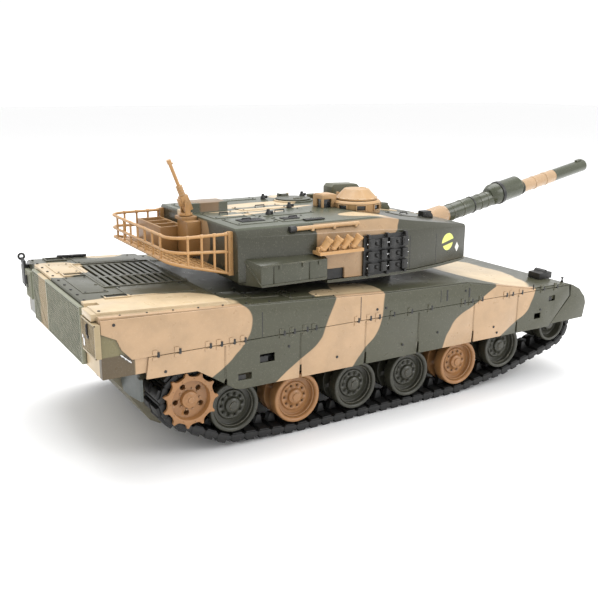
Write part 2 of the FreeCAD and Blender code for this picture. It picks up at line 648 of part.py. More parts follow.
def turret_shell():
    shell = turret_solid(0).cut(turret_solid(WALL))
    for side in (-1, 1):
        shell = shell.cut(on_side(box(59.2, 73, 55.5, 70, 70, 86.4), side))
    shell = shell.cut(box(0, 200, -90, 90, 70, SHELL_FOOT))
    shell = shell.cut(box(NOTCH_X, 200, -NOTCH_Y, NOTCH_Y, 70, 130))
    cx, cy = GUNNER_HATCH
    rim = cyl_z(cx, cy, 12.6, ROOF_Z - 0.4, ROOF_Z + 1.0).cut(cyl_z(cx, cy, 11.2, ROOF_Z - 3, ROOF_Z + 2))
    shell = shell.cut(cyl_z(cx, cy, 10.0, ROOF_Z - 4, ROOF_Z + 4))
    stowage = box(11.0, 34.0, 7.0, 22.0, ROOF_Z - 0.5, ROOF_Z + 5.4)
    py, pz = GUNNER_HINGE
    ears = []
    for x in (cx - 3.4, cx + 3.4):
        ear = box(x - 0.6, x + 0.6, py - 0.9, py + 1.0, ROOF_Z - 0.5, pz + 1.0)
        ears.append(ear.cut(rod(V(x - 2, py, pz), V(x + 2, py, pz), HINGE_PIN_R + RUN_FIT)))
    cheeks = NOTCH_Y + 0.8
    front = turret_solid(0).common(box(NOTCH_X - 0.8, 200, -cheeks, cheeks, SHELL_FOOT, 130))
    front = front.cut(box(NOTCH_X, 200, -NOTCH_Y, NOTCH_Y, 70, 130))
    front = front.cut(cyl_y(GUN_X, GUN_Z, TRUNNION_R + 0.6, -20, 20))
    return fuse(shell, rim, stowage, front, *ears)


def turret_base():
    """Floor of the turret, with the spigot that turns in the ring and the trunnion posts."""
    floor = turret_solid(0.0).common(box(BUSTLE_X + 0.5, 200, -90, 90, 70, TURRET_FLOOR + 1.55))
    spigot = cyl_z(RING_X, 0, RING_R - GAP, 64.0, TURRET_FLOOR + 0.2)
    spigot = spigot.cut(cyl_z(RING_X, 0, RING_R - 3.0, 60, 90))
    floor = floor.cut(cyl_z(RING_X, 0, RING_R - 3.0, 70, 90))
    lugs = []
    for i in range(3):
        angle = 2 * math.pi * i / 3 + 0.5
        lug = box(RING_R - 2.5, RING_R + 2.0, -5, 5, 64.0, 66.0)
        lug.rotate(V(0, 0, 0), V(0, 0, 1), math.degrees(angle))
        lug.translate(V(RING_X, 0, 0))
        lugs.append(lug)
    spoke = box(RING_X - RING_R + 1, RING_X + RING_R - 1, -6, 6, 76.6, 79.4)
    hub = cyl_z(RING_X, 0, 7.0, 72, 79.4)
    shaft = cyl_z(RING_X, 0, 3.0, 50, 73)
    posts = []
    for side in (-1, 1):
        post = box(GUN_X - 4.5, GUN_X + 4.5, 11.4, 14.0, TURRET_FLOOR + 0.5, GUN_Z + 4.5)
        post = post.cut(cyl_y(GUN_X, GUN_Z, TRUNNION_R + RUN_FIT, 5, 20))
        posts.append(on_side(post, side))
    return fuse(floor, spigot, spoke, hub, shaft, *(lugs + posts))


def elevation_gearbox():
    case = box(GUN_X - 9, GUN_X + 8, 14.05, 33, SHELL_FOOT + 0.1, 98.0)
    return case.cut(cyl_y(GUN_X, GUN_Z, TRUNNION_R + RUN_FIT, 10, 24))


def stowage_box(side):
    plan = [(12, 50), (19.0, 61.8), (59.0, 61.8), (59.0, 50)]
    block = prism_z(plan, 82.4, 97.0)
    block = cut_beyond(block, V(0, 61.8, 93.6), V(0, 0.36, 1))
    for x in (26.0, 47.5):
        block = block.cut(box(x, x + 0.5, 61.4, 63, 80, 100))
    block = block.cut(turret_solid(-0.05))
    return on_side(block.Solids[0], side)


def smoke_launcher(side):
    """Four tubes on a shelf, leaning forward and outward."""
    shelf = box(53, 81, 55, 64.0, 95.9, 97.6).cut(turret_solid(-0.05))
    tubes = []
    lean = V(0.50, 0.28, 0.82)
    for i in range(4):
        foot = V(55.5 + 6.4 * i, 60.4, 97.2)
        tubes.append(rod(foot, foot + lean * 9.0, 1.9))
    made = fuse(shelf, *tubes)
    for i in range(4):
        foot = V(55.5 + 6.4 * i, 60.4, 97.2)
        made = made.cut(rod(foot + lean * 5.0, foot + lean * 10.0, 1.2))
    return on_side(made, side)


def spare_track_links():
    """Two columns of three links hung on each side of the turret."""
    made = []
    for side in (-1, 1):
        for column in range(2):
            for row in range(3):
                x = 86.0 + 14.6 * column
                z = 82.0 + 6.7 * row
                link = box(x, x + 13.2, 56, 61.4, z, z + 5.9)
                link = link.cut(box(x + 4.4, x + 8.8, 60.4, 62, z - 1, z + 7))
                link = link.cut(turret_solid(-0.05))
                made.append(on_side(link.Solids[0], side))
    return Part.makeCompound(made)


# ---------------------------------------------------------------- basket
def basket_rail(z_front, z_rear):
    """A bent wire: back along one side, across the rear and forward again, tilted as a whole."""
    corner = 9.0
    front = TURRET_REAR_X - 1.2
    rise = z_rear - z_front
    length = math.hypot(front - BASKET_REAR, rise)
    half = BASKET_Y - corner
    slant = corner * math.sqrt(0.5)
    bend = corner - length
    points = [V(0, BASKET_Y, 0), V(bend, BASKET_Y, 0), V(bend - slant, half + slant, 0),
              V(-length, half, 0), V(-length, -half, 0), V(bend - slant, -half - slant, 0),
              V(bend, -BASKET_Y, 0), V(0, -BASKET_Y, 0)]
    edges = [Part.LineSegment(points[0], points[1]).toShape(), Part.Arc(*points[1:4]).toShape(),
             Part.LineSegment(points[3], points[4]).toShape(), Part.Arc(*points[4:7]).toShape(),
             Part.LineSegment(points[6], points[7]).toShape()]
    section = Part.Wire(Part.makeCircle(RAIL_R, points[0], V(1, 0, 0)))
    wire = Part.Wire(edges).makePipeShell([section], True, False)
    wire.rotate(V(0, 0, 0), V(0, 1, 0), math.degrees(math.asin(rise / length)))
    wire.translate(V(front, 0, z_front))
    return wire


def floor_z(x):
    share = (x - BASKET_REAR) / (TURRET_REAR_X - 1.2 - BASKET_REAR)
    return 96.4 + (88.2 - 96.4) * share


def basket():
    top = 109.0
    parts = [basket_rail(109.0, top), basket_rail(99.8, 101.8), basket_rail(88.2, 96.4)]
    for side in (-1, 1):
        for x in (-14.5, -7.0, 0.0, 6.5):
            parts.append(rod(V(x, side * BASKET_Y, floor_z(x)), V(x, side * BASKET_Y, top), RAIL_R * 0.8))
        clip = box(7.4, TURRET_REAR_X - 0.05, side * BASKET_Y - 1.3, side * BASKET_Y + 1.3, 87.4, 110.2)
        parts.append(clip)
    for i in range(7):
        y = -33.0 + 11.0 * i
        parts.append(rod(V(BASKET_REAR, y, 96.4), V(BASKET_REAR, y, top), RAIL_R * 0.8))
    sheet = [(BASKET_REAR, 96.8), (8.0, 88.8), (8.0, 88.0), (BASKET_REAR, 96.0)]
    floor = prism_y(sheet, -38.5, 38.5)
    apron = [(-15.5, floor_z(-15.5) + 0.4), (8.0, 88.8), (8.0, 88.0), (-15.5, floor_z(-15.5) - 0.4)]
    floor = floor.fuse(prism_y(apron, -46.6, 46.6))
    for i in range(6):
        for j in range(15):
            x = -20.6 + 4.6 * i
            y = -44.0 + 6.0 * j
            if x < -15.0 and abs(y + 2.0) > 36.0:
                continue
            floor = floor.cut(box(x, x + 3.4, y, y + 4.6, 80, 100))
    return fuse(parts[0], floor, *parts[1:])


def gear_box():
    """Open box of three cells standing in the basket."""
    x0, x1, y0, y1 = -7.5, 7.0, 8.0, 44.0
    z1 = 105.4
    outline = [(x0, floor_z(x0) + 0.7), (x1, floor_z(x1) + 0.7), (x1, z1), (x0, z1)]
    box_out = prism_y(outline, y0, y1)
    cell = (y1 - y0 - 4 * 1.2) / 3
    for i in range(3):
        y = y0 + 1.2 + i * (cell + 1.2)
        hollow = [(x0 + 1.2, floor_z(x0 + 1.2) + 2.0), (x1 - 1.2, floor_z(x1 - 1.2) + 2.0),
                  (x1 - 1.2, z1 + 1), (x0 + 1.2, z1 + 1)]
        box_out = box_out.cut(prism_y(hollow, y, y + cell))
    return box_out


# ---------------------------------------------------------------- turret fittings
def cupola():
    cx, cy = CUPOLA
    base = cyl_z(cx, cy, CUPOLA_R, 104, CUPOLA_TOP - 1.2)
    lip = Part.makeCone(CUPOLA_R + 0.6, CUPOLA_R - 0.8, 1.4, V(cx, cy, CUPOLA_TOP - 1.4))
    ring = base.fuse(lip)
    for i in range(8):
        angle = 2 * math.pi * (i + 0.5) / 8
        window = box(CUPOLA_R - 1.2, CUPOLA_R + 2, -2.6, 2.6, 110.8, 114.2)
        window.rotate(V(0, 0, 0), V(0, 0, 1), math.degrees(angle))
        window.translate(V(cx, cy, 0))
        ring = ring.cut(window)
    ring = ring.cut(cyl_z(cx, cy, 10.4, 100, 130))
    side_box = box(86.6, 96.8, -12.4, -2.0, 110, 119.6).cut(box(88.0, 93.2, -13, -11.2, 111.5, 117.0))
    side_box = side_box.cut(box(86, 87.6, -11.0, -6.4, 111.5, 117.0))
    neck = box(95.0, 99.0, -11.0, -3.0, 108, 115.4).cut(cyl_z(cx, cy, CUPOLA_R - 1.0, 100, 130))
    ring = ring.fuse(side_box).fuse(neck)
    ring = ring.cut(turret_solid(-0.02))
    py, pz = COMMANDER_HINGE
    for x in (cx - 4.6, cx + 4.6):
        ear = box(x - 0.6, x + 0.6, py - 1.0, py + 1.0, CUPOLA_TOP - 1.5, pz + 1.0)
        ring = ring.fuse(ear.cut(rod(V(x - 2, py, pz), V(x + 2, py, pz), HINGE_PIN_R + RUN_FIT)))
    return ring.removeSplitter()


def commander_hatch():
    """Cone-shaped lid with its hinge at the left edge."""
    cx, cy = CUPOLA
    lid = Part.makeCone(12.2, 7.4, HATCH_TOP - CUPOLA_TOP - 1.4, V(cx, cy, CUPOLA_TOP + 1.4))
    rim = cyl_z(cx, cy, 12.6, CUPOLA_TOP + GAP, CUPOLA_TOP + 1.4)
    under = Part.makeCone(11.0, 6.4, 4.2, V(cx, cy, CUPOLA_TOP + GAP - 0.01))
    lid = lid.fuse(rim).cut(under)
    py, pz = COMMANDER_HINGE
    lug = box(cx - 3.4, cx + 3.4, cy + 10.5, py + 0.5, CUPOLA_TOP + GAP, pz + 0.6)
    pin = rod(V(cx - 5.2, py, pz), V(cx + 5.2, py, pz), HINGE_PIN_R)
    handle = rod(V(cx + 5.0, cy - 2.6, HATCH_TOP - 0.2), V(cx + 5.0, cy + 2.6, HATCH_TOP - 0.2), 0.7)
    return fuse(lid, lug.cut(under), pin, handle)


def gunner_hatch():
    cx, cy = GUNNER_HATCH
    lid = cyl_z(cx, cy, 10.9, ROOF_Z + GAP, ROOF_Z + 1.8)
    py, pz = GUNNER_HINGE
    lug = box(cx - 2.4, cx + 2.4, cy + 10.0, py + 0.7, ROOF_Z + 1.3, pz + 0.6)
    pin = rod(V(cx - 4.0, py, pz), V(cx + 4.0, py, pz), HINGE_PIN_R)
    grip = rod(V(cx - 3, cy - 6, ROOF_Z + 2.0), V(cx + 3, cy - 6, ROOF_Z + 2.0), 0.7)
    return fuse(lid, lug, pin, grip)


def roof_sights():
    """The gunner's hooded sight, and small prism boxes ahead of and beside it."""
    block = prism_y([(108, 104), (108, 120.6), (110, 122.4), (127, 121.8), (129, 120.0), (129, 104)],
                    10.0, 20.0)
    block = block.cut(box(127.8, 131, 11.4, 18.6, 112.6, 118.6))
    made = [block.cut(turret_solid(-0.02))]
    for x, y in ((151.0, 14.0), (157.0, -23.0), (122.0, 42.0), (107.0, 30.0)):
        top = roof_z(x) + 4.2
        block = prism_y([(x - 4, 95), (x - 4, top), (x + 1.5, top), (x + 4, top - 2.8), (x + 4, 95)],
                        y - 2.6, y + 2.6)
        block = block.cut(turret_solid(-0.02)).common(box(100, 200, -60, 60, 97, 130))
        made.append(block.Solids[0])
    return Part.makeCompound(made)


def mg_bracket():
    """Column on the rear face of the turret that carries the machine gun."""
    column = box(1.6, TURRET_REAR_X - 0.05, -9.0, 5.0, 90.5, ROOF_Z - 2.0)
    cap = box(0.6, TURRET_REAR_X - 0.05, -4.0, 6.0, ROOF_Z - 2.0, ROOF_Z)
    socket = cyl_z(MG_X, MG_Y, 1.5 + RUN_FIT, ROOF_Z - 6, ROOF_Z + 1)
    return fuse(column, cap).cut(socket)


def mg_cradle():
    stud = cyl_z(MG_X, MG_Y, 1.5, ROOF_Z - 5, ROOF_Z + 0.4)
    disc = cyl_z(MG_X, MG_Y, 3.9, ROOF_Z + GAP, ROOF_Z + 1.6)
    arms = []
    for side in (-1, 1):
        y = MG_Y + side * 3.2
        arm = box(MG_X - 1.6, MG_X + 1.6, y - 0.55, y + 0.55, ROOF_Z + 1.0, MG_Z)
        arm = arm.fuse(cyl_y(MG_X, MG_Z, 1.6, y - 0.55, y + 0.55))
        arms.append(arm.cut(cyl_y(MG_X, MG_Z, 0.8 + RUN_FIT, y - 2, y + 2)))
    return fuse(stud, disc, *arms)


def machine_gun():
    """Drawn pointing straight up from its pivot, then leaned back."""
    receiver = box(-2.3, 2.3, -2.2, 2.2, -5.0, 4.0)
    jacket = Part.makeCylinder(1.7, 6.0, V(0, 0, 3.5), V(0, 0, 1))
    barrel = Part.makeCylinder(0.95, 16.0, V(0, 0, 9.0), V(0, 0, 1))
    muzzle = Part.makeCylinder(1.25, 2.2, V(0, 0, 23.0), V(0, 0, 1))
    pin = cyl_y(0, 0, 0.8, -3.7, 3.7)
    grip = box(-1.0, 1.0, -1.0, 1.0, -5.4, -4.8)
    feed = box(-3.6, -2.0, -1.8, 1.8, -1.0, 3.2)
    gun = fuse(receiver, jacket, barrel, muzzle, pin, grip, feed)
    gun.rotate(V(0, 0, 0), V(0, 1, 0), -MG_LEAN)
    gun.translate(V(MG_X, MG_Y, MG_Z))
    return gun


# ---------------------------------------------------------------- main gun
def along_gun(shape):
    """Place a shape drawn level, with the trunnion at the origin, at the stored elevation."""
    shape.rotate(V(0, 0, 0), V(0, 1, 0), -GUN_ELEVATION)
    shape.translate(V(GUN_X, 0, GUN_Z))
    return shape


def tube(u0, u1, r, rise=0.0):
    return Part.makeCylinder(r, u1 - u0, V(u0, 0, rise), V(1, 0, 0))


def mantlet():
    half = NOTCH_Y - 0.5
    block = prism_y([(143.2, 83.5), (142.0, roof_z(142) - 0.8), (172.5, 100.2), (174.6, 97.0),
                     (173.5, 87.4), (152, 83.0)], -half, half)
    collar = along_gun(fuse(tube(20, 40.5, 7.0), Part.makeCone(7.0, 6.2, 1.5, V(40.5, 0, 0), V(1, 0, 0))))
    bore = along_gun(tube(10, 60, 5.0))
    left = cyl_y(GUN_X, GUN_Z, TRUNNION_R, half - 1, 22.0)
    right = cyl_y(GUN_X, GUN_Z, TRUNNION_R, -13.9, 1 - half)
    return fuse(block, collar, left, right).cut(bore)


def gun_barrel():
    root = tube(10.2, 40.0, 4.9)
    base = tube(42.05, 66.5, 5.7)
    neck = tube(39.0, 43.0, 4.9)
    sleeve = tube(66.5, 92.0, 5.4)
    rear_cone = Part.makeCone(5.4, 7.4, 3.5, V(EVACUATOR_U[0] - 3.5, 0, 1.7), V(1, 0, 0))
    evacuator = tube(*EVACUATOR_U, 7.4, 1.7)
    front_cone = Part.makeCone(7.4, 4.6, 3.6, V(EVACUATOR_U[1], 0, 1.7), V(1, 0, 0))
    middle = tube(100, 146.5, 4.5)
    muzzle = tube(146.5, GUN_LENGTH, MUZZLE_R)
    clamp = tube(EVACUATOR_U[0] + 5.1, EVACUATOR_U[0] + 6.9, 7.9, 1.7)
    step = tube(113.0, 115.0, 5.0)
    barrel = fuse(root, neck, base, sleeve, rear_cone, evacuator, front_cone, middle, muzzle, clamp,
                  step)
    return along_gun(barrel.cut(tube(GUN_LENGTH - 60, GUN_LENGTH + 1, BORE_R)))


# ---------------------------------------------------------------- write every node
os.makedirs("parts", exist_ok=True)

export("lower_hull", lower_hull())
export("upper_hull", upper_hull())
export("engine_grille", engine_grille())
export("rear_panel", rear_panel())
export("mud_flaps", mud_flaps())
export("headlights", headlights())
export("rear_bracket", rear_bracket())
export("battery_cells", battery())
export("battery_door", battery_door())
export("power_switch", power_switch())
export("gearboxes", gearboxes())
export("drive_motors", drive_motors())
export("circuit_board", circuit_board())
export("traverse_gearbox", traverse_gearbox())
export("axles", axles())
export("screws", screws())
export("turret_ring", turret_ring())
for word, sign in (("left", 1), ("right", -1)):
    export("side_panel_" + word, side_panel(sign))
    export("skirt_" + word, skirt(sign))
    export("front_fender_" + word, front_fender(sign))
    export("track_" + word, track(sign))
    export("sprocket_" + word, sprocket(sign))
    export("idler_" + word, on_side(idler(), sign))
    for number in range(len(WHEEL_X)):
        export("road_wheel_" + word + "_" + str(number + 1), on_side(road_wheel(number), sign))
    export("stowage_box_" + word, stowage_box(sign))
    export("smoke_launcher_" + word, smoke_launcher(sign))
export("turret_shell", turret_shell())
export("turret_base", turret_base())
export("elevation_gearbox", elevation_gearbox())
export("spare_track_links", spare_track_links())
export("basket", basket())
export("gear_box", gear_box())
export("cupola", cupola())
export("commander_hatch", commander_hatch())
export("gunner_hatch", gunner_hatch())
export("roof_sights", roof_sights())
export("mg_bracket", mg_bracket())
export("mg_cradle", mg_cradle())
export("machine_gun", machine_gun())
export("mantlet", mantlet())
export("gun_barrel", gun_barrel())
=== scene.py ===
import json
import math

import bmesh
import bpy
from mathutils import Matrix, Vector
from mathutils.bvhtree import BVHTree

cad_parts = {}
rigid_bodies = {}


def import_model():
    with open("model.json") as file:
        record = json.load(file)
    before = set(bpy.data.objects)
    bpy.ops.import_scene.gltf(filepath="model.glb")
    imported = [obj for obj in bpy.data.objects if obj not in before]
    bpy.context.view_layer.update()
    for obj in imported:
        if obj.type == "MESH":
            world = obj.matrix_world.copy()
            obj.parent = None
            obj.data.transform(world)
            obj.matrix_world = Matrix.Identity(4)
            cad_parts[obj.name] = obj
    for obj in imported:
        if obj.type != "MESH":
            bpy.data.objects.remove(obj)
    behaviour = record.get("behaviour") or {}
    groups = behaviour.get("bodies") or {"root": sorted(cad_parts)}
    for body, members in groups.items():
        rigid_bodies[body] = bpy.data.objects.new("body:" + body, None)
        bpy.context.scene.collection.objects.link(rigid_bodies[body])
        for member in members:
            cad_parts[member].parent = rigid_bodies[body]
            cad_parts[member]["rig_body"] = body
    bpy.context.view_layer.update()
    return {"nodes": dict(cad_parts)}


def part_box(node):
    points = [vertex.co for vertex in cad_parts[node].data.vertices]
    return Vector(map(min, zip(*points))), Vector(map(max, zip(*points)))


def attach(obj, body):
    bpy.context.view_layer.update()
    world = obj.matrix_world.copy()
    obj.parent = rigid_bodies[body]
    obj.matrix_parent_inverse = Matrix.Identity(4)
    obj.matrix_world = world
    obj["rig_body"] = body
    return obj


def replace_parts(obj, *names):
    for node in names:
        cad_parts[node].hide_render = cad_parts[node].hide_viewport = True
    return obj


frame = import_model()

# Places and sizes are in millimetres, in hull coordinates: X runs forward from just behind the
# rearmost road wheel, Y to the tank's left and Z up. at() turns them into the row frame.
MM = 0.001
REAR_WHEEL_X = 0.4
_low, _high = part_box("road_wheel_right_1")
HULL_X = (_low.x + _high.x) / 2 / MM - REAR_WHEEL_X

HALF_WIDTH = 71.5
HINGE_Z = 59.0
ROOF_Z = 112.0
GUN_X, GUN_Z = 150.0, 90.0
GUN_ELEVATION = math.radians(11.5)


def at(x, y, z):
    """A point in hull millimetres, as a place in the row frame."""
    return Vector((x + HULL_X, y, z)) * MM


# ---------------------------------------------------------------- looks
class Look:
    """A material being wired up, with short calls for the nodes it needs."""

    def __init__(self, name):
        self.material = bpy.data.materials.new(name)
        self.material.use_nodes = True
        self.tree = self.material.node_tree
        self.shader = self.tree.nodes["Principled BSDF"]
        coords = self.node("ShaderNodeTexCoord")
        place = self.node("ShaderNodeVectorMath", operation="MULTIPLY_ADD")
        self.tree.links.new(coords.outputs["Object"], place.inputs[0])
        place.inputs[1].default_value = (1 / MM, 1 / MM, 1 / MM)
        place.inputs[2].default_value = (-HULL_X, 0, 0)
        self.place = place.outputs[0]
        split = self.node("ShaderNodeSeparateXYZ")
        self.tree.links.new(self.place, split.inputs[0])
        self.x, self.y, self.z = split.outputs

    def node(self, kind, **settings):
        made = self.tree.nodes.new(kind)
        for key, value in settings.items():
            setattr(made, key, value)
        return made

    def feed(self, value, socket):
        if isinstance(value, bpy.types.NodeSocket):
            self.tree.links.new(value, socket)
        else:
            socket.default_value = value

    def math(self, operation, *values, clamp=False):
        made = self.node("ShaderNodeMath", operation=operation, use_clamp=clamp)
        for value, socket in zip(values, made.inputs):
            self.feed(value, socket)
        return made.outputs[0]

    def times(self, first, second):
        return self.math("MULTIPLY", first, second)

    def off(self, mask):
        """Where a mask isn't."""
        return self.math("SUBTRACT", 1.0, mask)

    def absolute(self, value):
        return self.math("ABSOLUTE", value)

    def mix(self, factor, first, second, blend="MIX"):
        made = self.node("ShaderNodeMix", data_type="RGBA", blend_type=blend)
        self.feed(factor, made.inputs[0])
        self.feed(first, made.inputs[6])
        self.feed(second, made.inputs[7])
        return made.outputs[2]

    def noise(self, size, detail=2.0, roughness=0.5):
        """Noise whose features are about size millimetres across."""
        made = self.node("ShaderNodeTexNoise")
        self.feed(self.place, made.inputs["Vector"])
        made.inputs["Scale"].default_value = 1 / size
        made.inputs["Detail"].default_value = detail
        made.inputs["Roughness"].default_value = roughness
        return made.outputs["Fac"]

    def step(self, value, low, high):
        """0 below low, 1 above high, and smooth between."""
        made = self.node("ShaderNodeMapRange", interpolation_type="SMOOTHSTEP")
        self.feed(value, made.inputs["Value"])
        made.inputs["From Min"].default_value = low
        made.inputs["From Max"].default_value = high
        return made.outputs["Result"]

    def edge_mask(self, radius=0.35):
        """1 along eased and sharp edges, 0 on open faces."""
        soft = self.node("ShaderNodeBevel", samples=4)
        soft.inputs["Radius"].default_value = radius * MM
        true = self.node("ShaderNodeNewGeometry")
        dot = self.node("ShaderNodeVectorMath", operation="DOT_PRODUCT")
        self.tree.links.new(soft.outputs["Normal"], dot.inputs[0])
        self.tree.links.new(true.outputs["Normal"], dot.inputs[1])
        return self.step(self.off(dot.outputs["Value"]), 0.02, 0.3)

    def corner_shade(self, distance=2.5):
        """1 deep in corners and grooves, 0 in the open: the mask for painted shade."""
        made = self.node("ShaderNodeAmbientOcclusion", samples=4)
        made.inputs["Distance"].default_value = distance * MM
        return self.step(self.off(made.outputs["AO"]), 0.25, 0.9)

    def bump(self, *layers):
        """Adds (height socket, millimetres) layers to the surface."""
        normal = None
        for height, depth in layers:
            made = self.node("ShaderNodeBump")
            made.inputs["Strength"].default_value = 1.0
            made.inputs["Distance"].default_value = depth * MM
            self.feed(height, made.inputs["Height"])
            if normal is not None:
                self.feed(normal, made.inputs["Normal"])
            normal = made.outputs["Normal"]
        self.feed(normal, self.shader.inputs["Normal"])


def rgb(red, green, blue):
    """A colour given as it looks on a screen, 0 to 255."""
    linear = []
    for value in (red, green, blue):
        share = value / 255
        linear.append(share / 12.92 if share <= 0.04045 else ((share + 0.055) / 1.055) ** 2.4)
    return (*linear, 1.0)


GREEN = rgb(68, 68, 52)
TAN = rgb(180, 149, 115)
ORANGE_TAN = rgb(186, 142, 90)
# The camouflage's tan as it shows on faces lit from above: painted top light.
TOP_LIT_TAN = rgb(198, 176, 141)
# Olive for the pocket at each side's rear corner: painted shade.
POCKET_SHADE_OLIVE = rgb(118, 110, 76)
SHADOW_BROWN = rgb(78, 62, 40)


def painted(look, colour, roughness, edge_wear_and_highlight=0.5):
    """Moulded and sprayed plastic: mottled, a little paler on its edges (worn paint and painted highlight),
    with painted shade in its corners.
    """
    mottle = look.noise(14.0, 4.0, 0.6)
    speck = look.noise(0.7, 3.0, 0.7)
    colour = look.mix(look.times(look.step(mottle, 0.35, 0.7), 0.16), colour, rgb(60, 58, 46))
    colour = look.mix(look.times(look.step(speck, 0.55, 0.75), 0.10), colour, rgb(232, 222, 200))
    # Paler edges: worn paint and painted highlight.
    edges = look.times(look.edge_mask(), look.step(look.noise(5.0, 3.0), 0.3, 0.62))
    colour = look.mix(look.times(edges, edge_wear_and_highlight), colour, rgb(226, 214, 190))
    # Painted shade: darker deep in corners and grooves.
    colour = look.mix(look.times(look.corner_shade(), 0.62), colour, rgb(38, 35, 28))
    look.feed(colour, look.shader.inputs["Base Color"])
    rough = look.math("ADD", look.times(look.noise(6.0, 3.0), 0.16), roughness - 0.08)
    look.feed(rough, look.shader.inputs["Roughness"])
    look.shader.inputs["Specular IOR Level"].default_value = 0.5
    look.bump((look.noise(0.55, 2.0), 0.02), (look.noise(9.0, 1.0), 0.12))
    return look.material


# The camouflage's edges on the hull's side, as (height, X) points from the bottom up.
REAR_PATCH = ((33, -28), (43, -13.6), (48, -5.5), (54, 1.2), (60, 6), (67, 8.8), (73, 8), (79, 1.5))
MIDDLE_BAND = (((33, 21), (43, 36), (50, 47), (60, 53), (69, 57), (78, 60)),
               ((33, 70), (43, 78), (49, 85), (59, 89.5), (70, 90.5), (78, 91)))
FRONT_BAND = (((33, 134), (44, 139), (52, 146.5), (56, 156), (63, 168.5), (70, 182)),
              ((33, 180), (41, 192), (45, 200), (53, 206), (60, 208), (70, 210)))
# Sprayed patches on the deck, as (X, Y, half length, half width).
DECK_PATCHES = ((-60, 33, 17, 20), (-24, 65, 12, 8), (-44, -62, 46, 24), (193, -10, 30, 62),
                (80, -58, 14, 20), (58, -66, 10, 12), (110, 66, 24, 18), (20, 62, 16, 14), (232, 40, 20, 14))
PATCH_LOW_Z, PATCH_HIGH_Z = 30.0, 80.0
PATCH_LOW_X, PATCH_HIGH_X = -80.0, 260.0


def edge_line(look, height, points):
    """The X of a camouflage edge at this height, through a few points."""
    made = look.node("ShaderNodeFloatCurve")
    curve = made.mapping.curves[0]
    shares = [((z - PATCH_LOW_Z) / (PATCH_HIGH_Z - PATCH_LOW_Z),
               (x - PATCH_LOW_X) / (PATCH_HIGH_X - PATCH_LOW_X)) for z, x in points]
    curve.points[0].location = shares[0]
    curve.points[1].location = shares[-1]
    for share in shares[1:-1]:
        curve.points.new(*share)
    made.mapping.update()
    look.feed(height, made.inputs["Value"])
    return look.math("MULTIPLY_ADD", made.outputs[0], PATCH_HIGH_X - PATCH_LOW_X, PATCH_LOW_X)


def beyond(look, value, edge, soft=0.5):
    """1 where value is past edge, with a sprayed edge this many millimetres soft."""
    return look.step(look.math("SUBTRACT", value, edge), -soft, soft)


def patch(look, x, y, centre_x, centre_y, half_x, half_y):
    """1 inside an oval on the XY plane."""
    dx = look.times(look.math("SUBTRACT", x, centre_x), 1 / half_x)
    dy = look.times(look.math("SUBTRACT", y, centre_y), 1 / half_y)
    far = look.math("SQRT", look.math("ADD", look.times(dx, dx), look.times(dy, dy)))
    return look.off(look.step(far, 0.97, 1.03))


def either(look, masks):
    total = masks[0]
    for mask in masks[1:]:
        total = look.math("MAXIMUM", total, mask)
    return total


def wandering(look, axis, size=16.0, reach=5.0):
    """An axis shifted by slow noise, so that sprayed edges aren't ruled."""
    return look.math("ADD", axis, look.math("MULTIPLY_ADD", look.noise(size, 1.0), reach, -reach / 2))


def hull_paint():
    """Green with tan bands: the right side as seen, the left side with the bands run the other way. The
    deck's tan patches are in top-lit tan, painted top light, and the pocket at each side's rear corner is
    painted shade.
    """
    look = Look("hull_camouflage")
    side = look.step(look.y, -1, 1)
    turned = look.math("SUBTRACT", 176.0, look.x)
    across = look.math("ADD", look.times(side, turned), look.times(look.off(side), look.x))
    across = wandering(look, across, 11.0, 2.0)
    height = look.math("MULTIPLY_ADD", look.z, 1 / (PATCH_HIGH_Z - PATCH_LOW_Z),
                       -PATCH_LOW_Z / (PATCH_HIGH_Z - PATCH_LOW_Z), clamp=True)
    bands = [look.off(beyond(look, across, edge_line(look, height, REAR_PATCH)))]
    for left, right in (MIDDLE_BAND, FRONT_BAND):
        inside = look.times(beyond(look, across, edge_line(look, height, left)),
                            look.off(beyond(look, across, edge_line(look, height, right))))
        bands.append(inside)
    outer = look.step(look.absolute(look.y), 66.0, 68.0)
    sides = look.times(either(look, bands), outer)
    x, y = wandering(look, look.x, 18.0, 9.0), wandering(look, look.y, 22.0, 9.0)
    deck = either(look, [patch(look, x, y, *place) for place in DECK_PATCHES])
    deck = look.times(deck, look.off(outer))
    # The deck's tan patches take the top-lit tan: painted top light on the deck.
    colour = look.mix(deck, look.mix(sides, GREEN, TAN), TOP_LIT_TAN)
    # The pocket at each side's rear corner: olive above and darker below, both painted shade.
    corner = look.times(look.step(look.absolute(look.y), 66.2, 66.6),
                        look.off(look.step(look.absolute(look.y), 69.95, 70.0)))
    corner = look.times(corner, look.off(look.step(look.x, -53.0, -52.0)))
    corner = look.times(corner, look.off(look.step(look.z, 74.5, 75.0)))
    colour = look.mix(corner, colour, POCKET_SHADE_OLIVE)
    low = look.off(look.step(look.z, 61.6, 62.2))
    colour = look.mix(look.times(look.times(corner, low), 0.9), colour, SHADOW_BROWN)
    return painted(look, colour, 0.3)


def rear_paint():
    """The rear wall and the tub: green, with tan at the left and at the right-hand box, all paler than the
    hull's paint as painted light, and painted shadow on the tub below the wall.
    """
    look = Look("rear_camouflage")
    y = wandering(look, look.y, 12.0, 7.0)
    left = look.times(beyond(look, y, 17.0, 1.5), look.off(beyond(look, y, 34.0, 1.5)))
    right = look.off(beyond(look, look.y, -50.6, 0.2))
    high = look.step(look.z, 51.6, 52.2)
    # Green and tan paler than the hull's own: painted light on the rear faces.
    colour = look.mix(look.times(left, high), rgb(134, 136, 116), rgb(192, 172, 138))
    colour = look.mix(right, colour, rgb(164, 146, 112))
    # Below the wall: painted shadow.
    colour = look.mix(look.times(look.off(high), 0.6), colour, SHADOW_BROWN)
    return painted(look, colour, 0.4)


